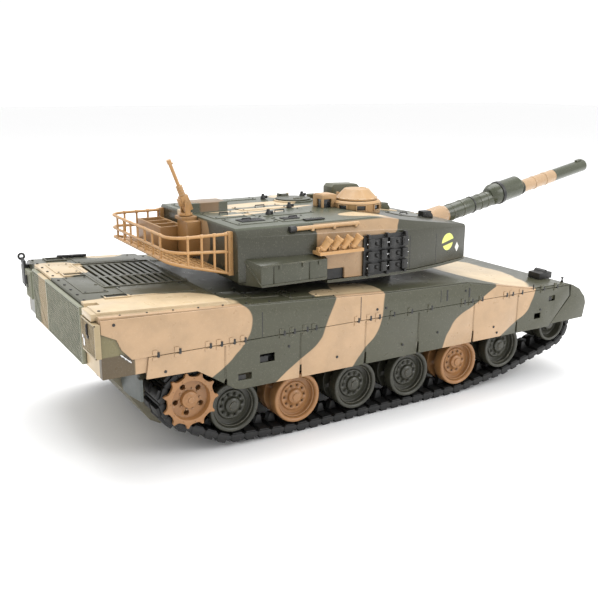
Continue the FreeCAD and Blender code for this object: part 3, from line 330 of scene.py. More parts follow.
def turret_paint():
    look = Look("turret_camouflage")
    x, y = wandering(look, look.x, 14.0, 4.0), wandering(look, look.y, 18.0, 8.0)
    left = beyond(look, look.x, 55.8)
    low = look.math("MULTIPLY_ADD", look.z, 0.95, 8.0)
    right = look.off(beyond(look, wandering(look, look.x, 9.0, 3.0), low))
    flank = look.off(look.step(look.y, -22, -18))
    cheek = look.times(look.times(left, right), flank)
    roof = [patch(look, x, y, *place) for place in ((50, 19, 46, 9), (54, 1, 34, 4), (40, -12, 20, 3),
                                                    (108, 44, 26, 12), (97, -40, 15, 9), (150, 12, 10, 24))]
    roof = look.times(either(look, roof), look.step(look.z, 96, 99))
    rear = look.times(patch(look, look.y, look.z, -4, 100, 16, 17), look.off(look.step(look.x, 12, 13)))
    far_side = look.times(patch(look, x, look.z, 92, 96, 26, 22), look.step(look.y, 40, 42))
    # The sides' green and tan are darker copies of the hull's: painted shade on the turret's sides.
    colour = look.mix(either(look, [cheek, rear, far_side]), rgb(54, 54, 41), rgb(160, 131, 98))
    # Above the roof's edge a paler green, painted top light, and the roof's tan patches in top-lit tan.
    colour = look.mix(roof, look.mix(look.step(look.z, 110.4, 111.4), colour, rgb(74, 78, 62)), TOP_LIT_TAN)
    # The roof box in a darkened tan: painted shade.
    locker = patch(look, look.x, look.y, 22.5, 14.5, 12.5, 8.5)
    locker = look.times(locker, look.step(look.z, ROOF_Z, ROOF_Z + 0.4))
    return painted(look, look.mix(locker, colour, rgb(120, 94, 62)), 0.3)


def gun_paint():
    """Bands across the barrel, by distance from the trunnion."""
    look = Look("gun_camouflage")
    along = look.math("ADD",
                      look.times(look.math("SUBTRACT", look.x, GUN_X), math.cos(GUN_ELEVATION)),
                      look.times(look.math("SUBTRACT", look.z, GUN_Z), math.sin(GUN_ELEVATION)))
    along = wandering(look, along, 6.0, 2.0)
    root = look.times(beyond(look, along, 21.0), look.off(beyond(look, along, 43.5)))
    front = look.times(beyond(look, along, 115.6), look.off(beyond(look, along, 146.6)))
    return painted(look, look.mix(either(look, [root, front]), rgb(66, 70, 54), TAN), 0.26)


def sight_paint():
    """Olive boxes, with the one by the gun left black."""
    look = Look("sight_paint")
    black = look.times(look.step(look.x, 151.5, 152.5), look.off(look.step(look.y, -6, -4)))
    return painted(look, look.mix(black, rgb(78, 78, 56), rgb(26, 26, 25)), 0.36)


def plain_paint(name, colour, roughness, edge_wear_and_highlight=0.5):
    return painted(Look(name), colour, roughness, edge_wear_and_highlight)


def track_rubber():
    look = Look("track_rubber")
    dust = look.times(look.step(look.noise(3.0, 4.0, 0.65), 0.5, 0.8), 0.1)
    colour = look.mix(dust, rgb(17, 17, 17), rgb(70, 64, 54))
    # Paler edges: worn rubber and painted highlight.
    colour = look.mix(look.times(look.edge_mask(0.3), 0.2), colour, rgb(70, 68, 64))
    look.feed(colour, look.shader.inputs["Base Color"])
    rough = look.math("MULTIPLY_ADD", look.noise(2.0, 3.0), 0.2, 0.4)
    look.feed(rough, look.shader.inputs["Roughness"])
    look.bump((look.noise(0.5, 3.0), 0.03))
    return look.material


def dark_plastic(name, colour):
    """Bare moulded plastic with paler edges: worn plastic and painted highlight."""
    look = Look(name)
    base = look.mix(look.times(look.step(look.noise(4.0, 3.0), 0.4, 0.7), 0.3), rgb(*colour), rgb(58, 56, 52))
    base = look.mix(look.times(look.edge_mask(0.25), 0.4), base, rgb(120, 118, 112))
    look.feed(base, look.shader.inputs["Base Color"])
    look.feed(look.math("MULTIPLY_ADD", look.noise(2.5, 2.0), 0.2, 0.34), look.shader.inputs["Roughness"])
    look.bump((look.noise(0.6, 2.0), 0.02))
    return look.material


def metal(name, colour, roughness=0.3):
    look = Look(name)
    worn = look.mix(look.times(look.step(look.noise(1.5, 4.0, 0.7), 0.45, 0.75), 0.5),
                    rgb(*colour), rgb(104, 98, 90))
    look.feed(worn, look.shader.inputs["Base Color"])
    look.shader.inputs["Metallic"].default_value = 1.0
    look.feed(look.math("MULTIPLY_ADD", look.noise(1.0, 3.0), 0.25, roughness - 0.1),
              look.shader.inputs["Roughness"])
    look.bump((look.noise(0.4, 2.0), 0.01))
    return look.material


def lens(name, colour, roughness=0.08):
    look = Look(name)
    tint = look.mix(look.step(look.noise(3.0, 1.0), 0.3, 0.7), rgb(*colour), rgb(20, 24, 28))
    look.feed(tint, look.shader.inputs["Base Color"])
    smear = look.math("MULTIPLY_ADD", look.noise(0.8, 2.0), 0.08, roughness)
    look.feed(smear, look.shader.inputs["Roughness"])
    look.shader.inputs["Coat Weight"].default_value = 0.6
    look.bump((look.noise(2.0, 1.0), 0.01))
    return look.material


LOOKS = {
    "hull": hull_paint(),
    "rear": rear_paint(),
    "turret": turret_paint(),
    "gun": gun_paint(),
    "green": plain_paint("green_paint", rgb(64, 65, 50), 0.32),
    # Darker copies of the green and tan for the wheels under the skirts: painted shade.
    "shaded_wheel_green": plain_paint("shaded_wheel_green_paint", rgb(48, 48, 39), 0.34, 0.5),
    "shaded_wheel_tan": plain_paint("shaded_wheel_tan_paint", rgb(152, 108, 66), 0.34, 0.45),
    "tan": plain_paint("tan_paint", rgb(182, 146, 102), 0.36),
    # Tan darkened: painted shade, for the gear box and the machine-gun bracket.
    "shaded_tan": plain_paint("shaded_tan_paint", rgb(150, 112, 66), 0.4),
    "basket": plain_paint("basket_paint", ORANGE_TAN, 0.36),
    "grey": plain_paint("flap_paint", rgb(74, 80, 78), 0.45),
    "sights": sight_paint(),
    "track": track_rubber(),
    "dark": dark_plastic("dark_plastic_look", (24, 24, 24)),
    # Near-black: painted shade in hollows, and the dark seams on the turret.
    "pit": dark_plastic("pit_look", (8, 8, 8)),
    "steel": metal("steel_look", (190, 188, 184)),
    "silver": metal("silver_look", (222, 222, 222), 0.22),
    "glass": lens("vision_glass", (30, 34, 38)),
    "lamp": lens("lamp_glass", (150, 150, 140), 0.05),
    "board": lens("board_lacquer", (24, 70, 40), 0.25),
    "yellow": plain_paint("marking_yellow", rgb(226, 232, 120), 0.4, 0.2),
    "white": plain_paint("marking_white", rgb(232, 232, 226), 0.4, 0.2),
}


# ---------------------------------------------------------------- making pieces
def finish_mesh(piece, look):
    mesh = piece.data
    mesh.materials.clear()
    mesh.materials.append(LOOKS[look])
    for face in mesh.polygons:
        face.use_smooth = True
        face.material_index = 0
    mesh.set_sharp_from_angle(angle=math.radians(38))


def ease_edges(shape, width, least_angle=32.0, segments=2):
    """Rounds the sharp edges that are long enough to take it."""
    sharp = [e for e in shape.edges if len(e.link_faces) == 2 and e.calc_length() > 1.6 * width * MM
             and e.calc_face_angle(0.0) > math.radians(least_angle)]
    if sharp:
        bmesh.ops.bevel(shape, geom=sharp, offset=width * MM, segments=segments, profile=0.6,
                        affect="EDGES", clamp_overlap=False)


def eased(node, look, width, inset=0.0):
    """A CAD node's own shape with its edges rounded, standing for the node; inset draws its outer side in.

    Wheels are touching solids, so their flat faces stay unmerged.
    """
    source = frame["nodes"][node]
    shape = bmesh.new()
    shape.from_mesh(source.data)
    bmesh.ops.remove_doubles(shape, verts=shape.verts, dist=0.002 * MM)
    if not node.startswith(("idler", "road_wheel")):
        bmesh.ops.dissolve_limit(shape, angle_limit=math.radians(1.0), verts=shape.verts, edges=shape.edges)
    for vert in shape.verts:
        if inset and abs(vert.co.y) > (HALF_WIDTH - 0.05) * MM:
            vert.co.y = math.copysign((HALF_WIDTH - inset) * MM, vert.co.y)
    ease_edges(shape, width)
    mesh = bpy.data.meshes.new(node + "_finish")
    shape.to_mesh(mesh)
    shape.free()
    piece = bpy.data.objects.new(node + "_finish", mesh)
    bpy.context.scene.collection.objects.link(piece)
    finish_mesh(piece, look)
    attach(piece, source["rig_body"])
    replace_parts(piece, node)
    return piece


def dress(node, look):
    """A CAD node kept as it is, with a better material."""
    source = frame["nodes"][node]
    finish_mesh(source, look)


def facing(normal, along=Vector((1, 0, 0))):
    """A turn that stands Z along a normal, with X as near as it can be to along."""
    up = normal.normalized()
    side = up.cross(along).normalized()
    front = side.cross(up)
    return Matrix((front, side, up)).transposed()


SIDES = (("left", 1), ("right", -1))
UP = Vector((0, 0, 1))
FORWARD = Vector((1, 0, 0))
# Where lines that look for a surface start, outside the tank, in millimetres.
FAR_OFF = 200


class Kit:
    """Collects eased shapes into one named piece. Sizes are in millimetres."""

    def __init__(self, name, body, look="dark", slot="dark_plastic"):
        self.name = name
        self.body = body
        self.look = look
        self.slot = slot
        self.shape = bmesh.new()

    def keep(self, part, ease):
        if ease:
            ease_edges(part, ease)
        mesh = bpy.data.meshes.new("part")
        part.to_mesh(mesh)
        part.free()
        self.shape.from_mesh(mesh)
        bpy.data.meshes.remove(mesh)

    def block(self, centre, size, turn=None, ease=0.2):
        part = bmesh.new()
        bmesh.ops.create_cube(part, size=1.0)
        bmesh.ops.scale(part, vec=Vector(size) * MM, verts=part.verts)
        if turn is not None:
            bmesh.ops.rotate(part, matrix=turn, verts=part.verts)
        bmesh.ops.translate(part, vec=centre, verts=part.verts)
        self.keep(part, ease)

    def slab(self, outline, thickness, ease=0.2):
        """A flat plate: its outline as points in the row frame, and a thickness vector."""
        part = bmesh.new()
        base = part.faces.new([part.verts.new(point) for point in outline])
        made = bmesh.ops.extrude_face_region(part, geom=[base])
        moved = [v for v in made["geom"] if isinstance(v, bmesh.types.BMVert)]
        bmesh.ops.translate(part, vec=thickness, verts=moved)
        bmesh.ops.recalc_face_normals(part, faces=part.faces)
        self.keep(part, ease)

    def turned(self, start, direction, profile, sides=24, ease=0.0):
        """A lathe shape: (radius, distance) points along a direction from start."""
        part = bmesh.new()
        turn = facing(direction, Vector((0.31, 0.57, 0.76)))
        rings = []
        for radius, far in profile:
            if radius <= 0:
                rings.append([part.verts.new(start + turn @ Vector((0, 0, far * MM)))])
                continue
            ring = []
            for i in range(sides):
                angle = 2 * math.pi * i / sides
                spot = Vector((radius * math.cos(angle), radius * math.sin(angle), far)) * MM
                ring.append(part.verts.new(start + turn @ spot))
            rings.append(ring)
        for low, high in zip(rings, rings[1:]):
            for i in range(sides):
                j = (i + 1) % sides
                corners = [low[i % len(low)], low[j % len(low)], high[j % len(high)], high[i % len(high)]]
                unique = list(dict.fromkeys(corners))
                if len(unique) > 2:
                    part.faces.new(unique)
        for ring in (rings[0], rings[-1]):
            if len(ring) > 2:
                part.faces.new(ring)
        bmesh.ops.recalc_face_normals(part, faces=part.faces)
        self.keep(part, ease)

    def bolt(self, spot, direction, radius, height, sides=12):
        """A domed screw head standing on a surface."""
        self.turned(spot - direction * 0.1 * MM, direction,
                    [(radius, 0), (radius, height * 0.6 + 0.1), (radius * 0.8, height * 0.9 + 0.1),
                     (radius * 0.4, height + 0.1), (0, height + 0.1)], sides)

    def hex_bolt(self, spot, direction, radius, height):
        self.turned(spot - direction * 0.1 * MM, direction,
                    [(radius, 0), (radius, height * 0.8 + 0.1), (radius * 0.82, height + 0.1),
                     (0, height + 0.1)], 6)

    def tube(self, points, radius, sides=10, closed=False):
        """A round bar through points in the row frame."""
        part = bmesh.new()
        count = len(points)
        rings = []
        normal = None
        for i, point in enumerate(points):
            before = points[(i - 1) % count] if closed or i else points[i]
            after = points[(i + 1) % count] if closed or i < count - 1 else points[i]
            heading = (after - before).normalized()
            if normal is None:
                normal = heading.orthogonal().normalized()
            normal = (normal - heading * normal.dot(heading)).normalized()
            side = heading.cross(normal)
            ring = []
            for k in range(sides):
                angle = 2 * math.pi * k / sides
                offset = (normal * math.cos(angle) + side * math.sin(angle)) * radius * MM
                ring.append(part.verts.new(point + offset))
            rings.append(ring)
        pairs = list(zip(rings, rings[1:]))
        if closed:
            pairs.append((rings[-1], rings[0]))
        for low, high in pairs:
            for k in range(sides):
                j = (k + 1) % sides
                part.faces.new((low[k], low[j], high[j], high[k]))
        if not closed:
            part.faces.new(rings[0])
            part.faces.new(rings[-1])
        bmesh.ops.recalc_face_normals(part, faces=part.faces)
        self.keep(part, 0)

    def done(self):
        mesh = bpy.data.meshes.new(self.name)
        self.shape.to_mesh(mesh)
        self.shape.free()
        piece = bpy.data.objects.new(self.name, mesh)
        bpy.context.scene.collection.objects.link(piece)
        finish_mesh(piece, self.look)
        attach(piece, self.body)
        return piece


class Surface:
    """Finds where a line meets a CAD node, to stand details on it."""

    def __init__(self, node):
        shape = bmesh.new()
        shape.from_mesh(frame["nodes"][node].data)
        self.tree = BVHTree.FromBMesh(shape)
        shape.free()

    def hit(self, start, direction):
        spot, normal, _, _ = self.tree.ray_cast(start, direction)
        if spot is None:
            raise ValueError("a detail's line misses its surface")
        if normal.dot(direction) > 0:
            normal = -normal
        return spot, normal

    def below(self, x, y):
        return self.hit(at(x, y, FAR_OFF), -UP)

    def from_side(self, side, x, z):
        return self.hit(at(x, side * FAR_OFF, z), Vector((0, -side, 0)))

    def from_rear(self, y, z):
        return self.hit(at(-FAR_OFF, y, z), FORWARD)


def turns(count, shift=0.0):
    """Evenly spaced angles round a full turn, moved on by a share of one space."""
    return [2 * math.pi * (k + shift) / count for k in range(count)]


def spoke(angle):
    """A unit vector turned about Y, for what goes round a wheel's axle."""
    return Vector((math.cos(angle), 0, math.sin(angle)))


# ---------------------------------------------------------------- the frame's own parts
def hull_shells():
    """The hull's shells with eased edges; the inner parts are kept as they are."""
    eased("upper_hull", "hull", 0.3)
    eased("lower_hull", "rear", 0.3)
    eased("engine_grille", "hull", 0.18)
    eased("rear_panel", "rear", 0.2)
    eased("mud_flaps", "grey", 0.2)
    eased("headlights", "dark", 0.3)
    eased("rear_bracket", "dark", 0.2)
    for word, _ in SIDES:
        eased("side_panel_" + word, "hull", 0.35, 0.45)
        eased("skirt_" + word, "hull", 0.25, 0.45)
        eased("front_fender_" + word, "hull", 0.3, 0.45)
    for node, look in (("battery_cells", "silver"), ("battery_door", "dark"), ("power_switch", "dark"),
                       ("gearboxes", "dark"), ("drive_motors", "steel"), ("circuit_board", "board"),
                       ("traverse_gearbox", "dark"), ("elevation_gearbox", "dark"), ("axles", "steel"),
                       ("screws", "steel"), ("turret_ring", "dark"), ("turret_base", "green")):
        dress(node, look)


def turret_shells():
    """The turret's and gun's shells with eased edges; thin wire and tubes are kept as they are."""
    eased("turret_shell", "turret", 0.35)
    for word, _ in SIDES:
        eased("stowage_box_" + word, "green", 0.3)
        dress("smoke_launcher_" + word, "basket")
    eased("gear_box", "shaded_tan", 0.2)
    dress("basket", "basket")
    eased("cupola", "tan", 0.2)
    eased("roof_sights", "sights", 0.25)
    eased("mg_bracket", "shaded_tan", 0.25)
    eased("commander_hatch", "tan", 0.2)
    eased("gunner_hatch", "green", 0.2)
    eased("mantlet", "gun", 0.3)
    eased("mg_cradle", "basket", 0.15)
    eased("machine_gun", "basket", 0.15)
    eased("gun_barrel", "gun", 0.25)


# ---------------------------------------------------------------- deck
# Vents sunk in the deck, as (middle X, middle Y, length, width).
RECESSES = ((-54.0, 60.5, 11.0, 8.0), (-55.5, 16.0, 11.0, 7.0), (-50.0, -39.0, 12.0, 6.0))
# Raised plates on the deck, as (rear X, front X, right Y, left Y).
DECK_PLATES = ((-63, -50, 22, 46), (-45, -8, 45.5, 62), (-63, -50, -28, 10), (-44, -8, -41, -20),
               (-1, 13, -58, -44), (14, 30, -60, -48), (33, 52, -66, -56), (-1, 22, 46, 62))


def on_deck(surface, x, y):
    """Where the deck is below a place, its normal, and a turn that lies on it."""
    spot, normal = surface.below(x, y)
    return spot, normal, facing(normal)


def deck_details(surface):
    """Raised plates, framed vents with strips of painted shadow, bolts and tool bars on the engine deck and
    beside the turret, and a near-black floor of painted shade under the grille.
    """
    plates = Kit("deck_plates", "hull", "hull", "camo_shell")
    bolts = Kit("deck_bolts", "hull")
    shadow_strips = Kit("deck_vent_shadow_strips", "hull", "pit")
    for x0, x1, y0, y1 in DECK_PLATES:
        spot, normal, turn = on_deck(surface, (x0 + x1) / 2, (y0 + y1) / 2)
        plates.block(spot, (x1 - x0, y1 - y0, 0.7), turn)
        for x in (x0 + 1.6, x1 - 1.6):
            for y in (y0 + 1.6, y1 - 1.6):
                spot, normal, _ = on_deck(surface, x, y)
                bolts.bolt(spot + normal * 0.33 * MM, normal, 0.55, 0.35)
    for x, y, length, width in RECESSES:
        spot, normal, turn = on_deck(surface, x, y)
        for dx, dy, lx, ly in ((0, width / 2, length + 1.2, 0.9), (0, -width / 2, length + 1.2, 0.9),
                               (length / 2, 0, 0.9, width), (-length / 2, 0, 0.9, width)):
            edge = spot + turn @ (Vector((dx, dy, 0.25)) * MM)
            plates.block(edge, (lx, ly, 0.9), turn)
        # Near-black strips inside each vent's far and front edges: painted shadow.
        for dx, dy, lx, ly in ((0, width / 2 - 1.1, length - 0.9, 1.3),
                               (length / 2 - 1.0, 0, 1.1, width - 0.9)):
            shadow_strips.block(spot + turn @ (Vector((dx, dy, 0.05)) * MM), (lx, ly, 0.2), turn, 0)
    for i in range(12):
        y = -63.5 + i * 11.5
        if abs(y + 49.1) > 4:
            spot, normal, _ = on_deck(surface, -66.2, y)
            bolts.bolt(spot, normal, 0.7, 0.5)
    for x in range(-58, 60, 13):
        for side in (-1, 1):
            spot, normal, _ = on_deck(surface, x, side * 68.2)
            bolts.bolt(spot, normal, 0.5, 0.35)
    plates.done()
    bolts.done()
    shadow_strips.done()

    bars = Kit("pioneer_tools", "hull")
    for x0, x1, y in ((-51.5, -34, 65.0), (6, 30, 66.5)):
        low, normal, _ = on_deck(surface, x0, y)
        high, _, _ = on_deck(surface, x1, y)
        bars.tube([low + normal * 0.9 * MM, high + normal * 0.9 * MM], 0.9)
        for share in (0.15, 0.5, 0.85):
            spot = low.lerp(high, share)
            bars.block(spot + normal * 0.6 * MM, (1.4, 3.4, 1.8), facing(normal), 0.2)
    bars.done()

    # A near-black floor and ribs under the grille: painted shade below its slots.
    bed = Kit("engine_bay_floor", "hull", "pit")
    low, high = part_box("engine_grille")
    middle = (low + high) / 2
    size = (high - low) / MM
    floor = Vector((middle.x, middle.y, low.z - 1.6 * MM))
    bed.block(floor, (size.x - 3, size.y - 5, 0.8))
    for i in range(9):
        rib = floor + Vector((0, (i - 4) * 5.4, 0.7)) * MM
        bed.block(rib, (size.x - 6, 0.9, 0.9))
    bed.done()


def grille_details(surface):
    """A frame round the slotted engine grille and a bolt at each corner."""
    rim = Kit("grille_frame", "hull", "hull", "camo_shell")
    low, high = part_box("engine_grille")
    x0, x1 = low.x / MM - HULL_X, high.x / MM - HULL_X
    y0, y1 = low.y / MM, high.y / MM
    for y in (y0 - 1.3, y1 + 1.3):
        spot, normal, turn = on_deck(surface, (x0 + x1) / 2, y)
        rim.block(spot + normal * 0.1 * MM, (x1 - x0 + 4, 1.4, 1.0), turn)
    for x in (x0 - 1.6, x1 + 1.4):
        spot, normal, turn = on_deck(surface, x, (y0 + y1) / 2)
        rim.block(spot + normal * 0.1 * MM, (1.2, y1 - y0 + 2, 1.0), turn)
    for x in (x0 - 3.6, x1 + 3.4):
        for y in (y0 + 5, y1 - 5):
            spot, normal, turn = on_deck(surface, x, y)
            rim.hex_bolt(spot, normal, 0.9, 0.7)
    rim.done()


# ---------------------------------------------------------------- rear
def mesh_field(kit, x, y0, y1, z0, z1, pitch, radius):
    """Crossed diagonal wires over an upright rectangle facing rearward."""
    height = z1 - z0
    for i in range(int((y1 - y0 + height) / pitch) + 1):
        start = y0 - height + i * pitch
        first, last = max(y0, start), min(y1, start + height)
        if last - first < 0.5:
            continue
        low, high = z0 + first - start, z0 + last - start
        kit.tube([at(x - 0.1, first, low), at(x - 0.1, last, high)], radius, 4)
        kit.tube([at(x + 0.1, y0 + y1 - first, low), at(x + 0.1, y0 + y1 - last, high)], radius, 4)


REAR_PANEL_MESH = (-45.6, 45.6, 53.2, 80.0)
BOX_MESH_Z = (62.8, 77.4)
# The right-hand box's mesh frame, as (right Y, left Y, low Z, high Z).
BOX_FRAME = ((-71.5, -50.6, 61.9, 62.8), (-71.5, -50.6, 77.4, 78.2), (-51.3, -50.6, 62, 78.2),
             (-71.5, -70.8, 62, 78.2))


def rear_details():
    """Mesh on the rear panel and boxes, with a near-black plate of painted shade behind the panel's mesh, the
    boxes' handles and latches, tow eyes and lamps.
    """
    low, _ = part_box("rear_panel")
    x = low.x / MM - HULL_X
    mesh = Kit("rear_mesh", "hull", "rear", "camo_shell")
    mesh_field(mesh, x + 0.9, *REAR_PANEL_MESH, 2.3, 0.3)
    mesh.done()
    # A near-black plate behind the mesh: painted shade.
    backing = Kit("rear_mesh_backing", "hull", "pit")
    backing.block(at(x + 1.15, 0, 66.6), (0.2, 91.0, 26.8), None, 0)
    backing.done()

    box_mesh = Kit("rear_box_mesh", "hull", "rear", "camo_shell")
    for y0, y1 in ((-70.8, -51.4), (51.4, 62.2)):
        mesh_field(box_mesh, x, y0, y1, *BOX_MESH_Z, 1.6, 0.2)
    for y0, y1, z0, z1 in BOX_FRAME:
        box_mesh.block(at(x, (y0 + y1) / 2, (z0 + z1) / 2), (0.7, y1 - y0, z1 - z0), None, 0.15)
    box_mesh.done()

    handle = Kit("rear_box_handles", "hull")
    for y, z in ((-61.0, 71.4), (57.5, 70.0)):
        points = [at(x + dx, y, z + dz) for dx, dz in ((0.3, 5.4), (-0.7, 4.8), (-0.7, 0.4), (0.3, -0.2))]
        handle.tube(points, 0.55, 8)
        handle.block(at(x - 0.3, y, z - 1.0), (0.9, 1.9, 1.3), None, 0.3)
    handle.block(at(x + 1.9, -48.9, 70.6), (0.6, 3.6, 8.6), None, 0.1)
    handle.done()
    latch = Kit("rear_latches", "hull", "silver")
    latch.block(at(x - 0.2, -54.6, 66.4), (0.8, 1.4, 3.8), None, 0.3)
    latch.turned(at(x - 0.1, -53.6, 69.0), Vector((-1, 0, 0)), [(0.9, 0), (0.9, 0.5), (0, 0.8)], 14)
    for side in (-1, 1):
        for dx, dz in ((0.0, 0.0), (1.7, -1.7), (3.4, -3.0)):
            spot = at(-58.6 + dx, side * 70.2, 61.6 + dz)
            latch.block(spot, (0.9, 0.8, 0.9))
        latch.tube([at(-59.4, side * 70.5, 62.4), at(-54.4, side * 70.5, 57.8)], 0.35, 8)
    latch.done()

    hooks = Kit("tow_eyes", "hull")
    tub = Surface("lower_hull")
    for side in (-1, 1):
        spot, normal = tub.from_rear(side * 26, 40)
        turn = facing(normal, UP)
        hooks.block(spot, (5.0, 3.2, 1.6), turn, 0.4)
        loop = [Vector((2.0 * math.cos(angle), 0, 1.4 + 1.8 * math.sin(angle))) for angle in turns(16)]
        ring = [spot + turn @ (point * MM) for point in loop]
        hooks.tube(ring, 0.6, 8, closed=True)
    spot, normal = tub.from_rear(0, 40)
    hooks.block(spot, (9.0, 8.0, 1.4), facing(normal, UP), 0.4)
    hooks.done()

    lamps = Kit("rear_lamps", "hull", "lamp")
    for side in (-1, 1):
        spot, normal = tub.from_rear(side * 36, 47)
        lamps.turned(spot, normal, [(1.9, 0), (1.9, 0.8), (1.5, 1.2), (0, 1.35)], 20)
    lamps.done()


# ---------------------------------------------------------------- sides
HINGES = (-43, -32, -16, -10, -3, 3, 25.5, 31.5, 39.3, 44.8, 72, 80, 86, 96, 108.5, 123, 148, 154, 162,
          182, 187, 195, 214, 226)
SIDE_BOLTS = ((-38, 50.5), (104.5, 40.6), (174.4, 40.6), (177.4, 36.5), (60, 41), (130, 44), (-62, 77.2),
              (150, 66.5), (86, 64.0), (92, 64.0), (214, 46.0), (30, 52))
# Upright slots and seams, and the backs of the skirts' holes, as (X, Z, length, height). All are dark blocks:
# in the slots and behind the holes they are painted shade, at the seams dark joints.
SIDE_SLOTS = ((136, 65.4, 1.1, 6.6), (153, 64.8, 1.1, 6.2), (131.3, 65.4, 0.4, 7.0), (14.5, 66.0, 0.4, 13.0),
              (75.0, 66.0, 0.4, 13.0), (206.5, 61.5, 0.4, 3.4))
SKIRT_HOLES = ((13.0, 45.6, 10, 6), (0.6, 38.4, 9, 5), (221.0, 50.4, 7, 5))


def side_details():
    """Hinges along the skirts' top edge, bolts, upright slots and what shows through the skirts' holes; the
    slots and the holes' backs are dark blocks of painted shade.
    """
    y = HALF_WIDTH - 0.15
    for word, side in SIDES:
        out = Vector((0, side, 0))
        hinges = Kit("skirt_hinges_" + word, "hull", "hull", "camo_shell")
        bolts = Kit("side_bolts_" + word, "hull")
        for x in HINGES:
            hinges.block(at(x, side * (y - 0.4), HINGE_Z + 1.7), (2.2, 1.0, 2.6))
            bolts.block(at(x + 1.7, side * (y - 0.4), HINGE_Z + 0.5), (1.3, 1.05, 2.6), None, 0.15)
            hinges.block(at(x, side * (y - 0.4), HINGE_Z - 1.2), (2.6, 1.0, 1.5))
        for x, z in SIDE_BOLTS:
            bolts.bolt(at(x, side * (y - 0.35), z), out, 0.75, 0.45)
        # Dark blocks: painted shade in the slots, dark joints at the seams.
        for x, z, length, height in SIDE_SLOTS:
            bolts.block(at(x, side * (y - 0.55), z), (length, 0.7, height), None, 0.05)
        # Dark blocks behind the skirts' holes: painted shade.
        for x, z, length, height in SKIRT_HOLES:
            bolts.block(at(x, side * 69.95, z), (length, 0.4, height), None, 0)
        hinges.done()
        bolts.done()


def fender_details():
    """A width peg and two lamp lenses at each front corner."""
    pegs = Kit("width_pegs", "hull")
    for side in (-1, 1):
        spot = at(237.5, side * 66.0, 60.0)
        pegs.turned(spot, UP, [(0.9, 0), (0.9, 0.9), (0.5, 1.2), (0.5, 2.4), (0.9, 2.7), (0.9, 3.3),
                               (0, 3.6)], 12)
    pegs.done()
    lamps = Kit("headlamp_lenses", "hull", "lamp")
    for side in (-1, 1):
        for dy in (-2.1, 2.1):
            lamps.turned(at(238.3, side * 50.5 + dy, 62.5), FORWARD,
                         [(1.35, 0), (1.35, 0.4), (1.0, 0.8), (0, 0.95)], 18)
    lamps.done()


# ---------------------------------------------------------------- running gear
def islands(node):
    """The separate solids of a node, as lists of places."""
    shape = bmesh.new()
    shape.from_mesh(frame["nodes"][node].data)
    bmesh.ops.remove_doubles(shape, verts=shape.verts, dist=0.002 * MM)
    left = set(shape.verts)
    found = []
    while left:
        stack = [left.pop()]
        members = []
        while stack:
            vert = stack.pop()
            members.append(vert.co.copy())
            for edge in vert.link_edges:
                other = edge.other_vert(vert)
                if other in left:
                    left.remove(other)
                    stack.append(other)
        found.append(members)
    shape.free()
    return found


HORN_TIP = 7.4
HORN_OUTLINE = ((-2.5, 2.4), (2.5, 2.4), (1.1, HORN_TIP), (-1.1, HORN_TIP))


def link_frame(points):
    """Where a track link is and how it is turned: its guide horn's tip is its farthest part."""
    middle = sum(points, Vector()) / len(points)
    flat = [Vector((p.x - middle.x, 0, p.z - middle.z)) for p in points]
    reach = max(f.length for f in flat)
    tips = [p for p, f in zip(points, flat) if f.length > reach - 0.12 * MM]
    tip = sum(tips, Vector()) / len(tips)
    body = [p for p, f in zip(points, flat) if f.length < reach - 1.2 * MM]
    low = sum(body, Vector()) / len(body)
    up = Vector((tip.x - low.x, 0, tip.z - low.z)).normalized()
    along = Vector((up.z, 0, -up.x))
    centre = Vector((tip.x, 0, tip.z)) - up * HORN_TIP * MM
    return centre, Matrix((along, Vector((0, 1, 0)), up)).transposed()


def tracks():
    """Detailed links: a ribbed web, two rubber pads outside, end connectors and a guide horn."""
    for word, side in SIDES:
        node = "track_" + word
        low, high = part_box(node)
        y_mid = (low.y + high.y) / 2 / MM
        kit = Kit("track_links_" + word, "hull", "track", "track_black")
        pads = Kit("track_pads_" + word, "hull", "track", "track_black")
        for points in islands(node):
            centre, turn = link_frame(points)

            def spot(u, v, w):
                return centre + turn @ (Vector((u, 0, w)) * MM) + Vector((0, v, 0)) * MM
            kit.block(spot(0, y_mid, 0.7), (5.6, 20.6, 3.0), turn, 0.35)
            for pin in (-3.1, 3.1):
                kit.turned(spot(pin, y_mid - 10.6, 0.1), Vector((0, 1, 0)),
                           [(0, 0), (1.0, 0), (1.3, 0.3), (1.3, 20.9), (1.0, 21.2), (0, 21.2)], 8)
            for end in (-9.9, 9.9):
                kit.block(spot(0, y_mid + end, 0.1), (7.4, 1.9, 3.0), turn, 0.5)
            horn_y = y_mid + side * 1.4
            outline = [spot(u, horn_y - 1.9, w) for u, w in HORN_OUTLINE]
            kit.slab(outline, Vector((0, 3.8, 0)) * MM, 0.4)
            for v in (-5.4, 5.4):
                pads.block(spot(0, y_mid + v, -2.0), (4.6, 8.6, 2.3), turn, 0.45)
        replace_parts(kit.done(), node)
        pads.done()


# Which of a side's six road wheels are tan, counted from either end.
TAN_WHEELS = (2, 5)


def outer_face(node, side, depth):
    """The middle of a wheel's outer face, moved in by a depth in millimetres."""
    low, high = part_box(node)
    face = high.y if side > 0 else low.y
    return Vector(((low.x + high.x) / 2, face - side * depth * MM, (low.z + high.z) / 2))


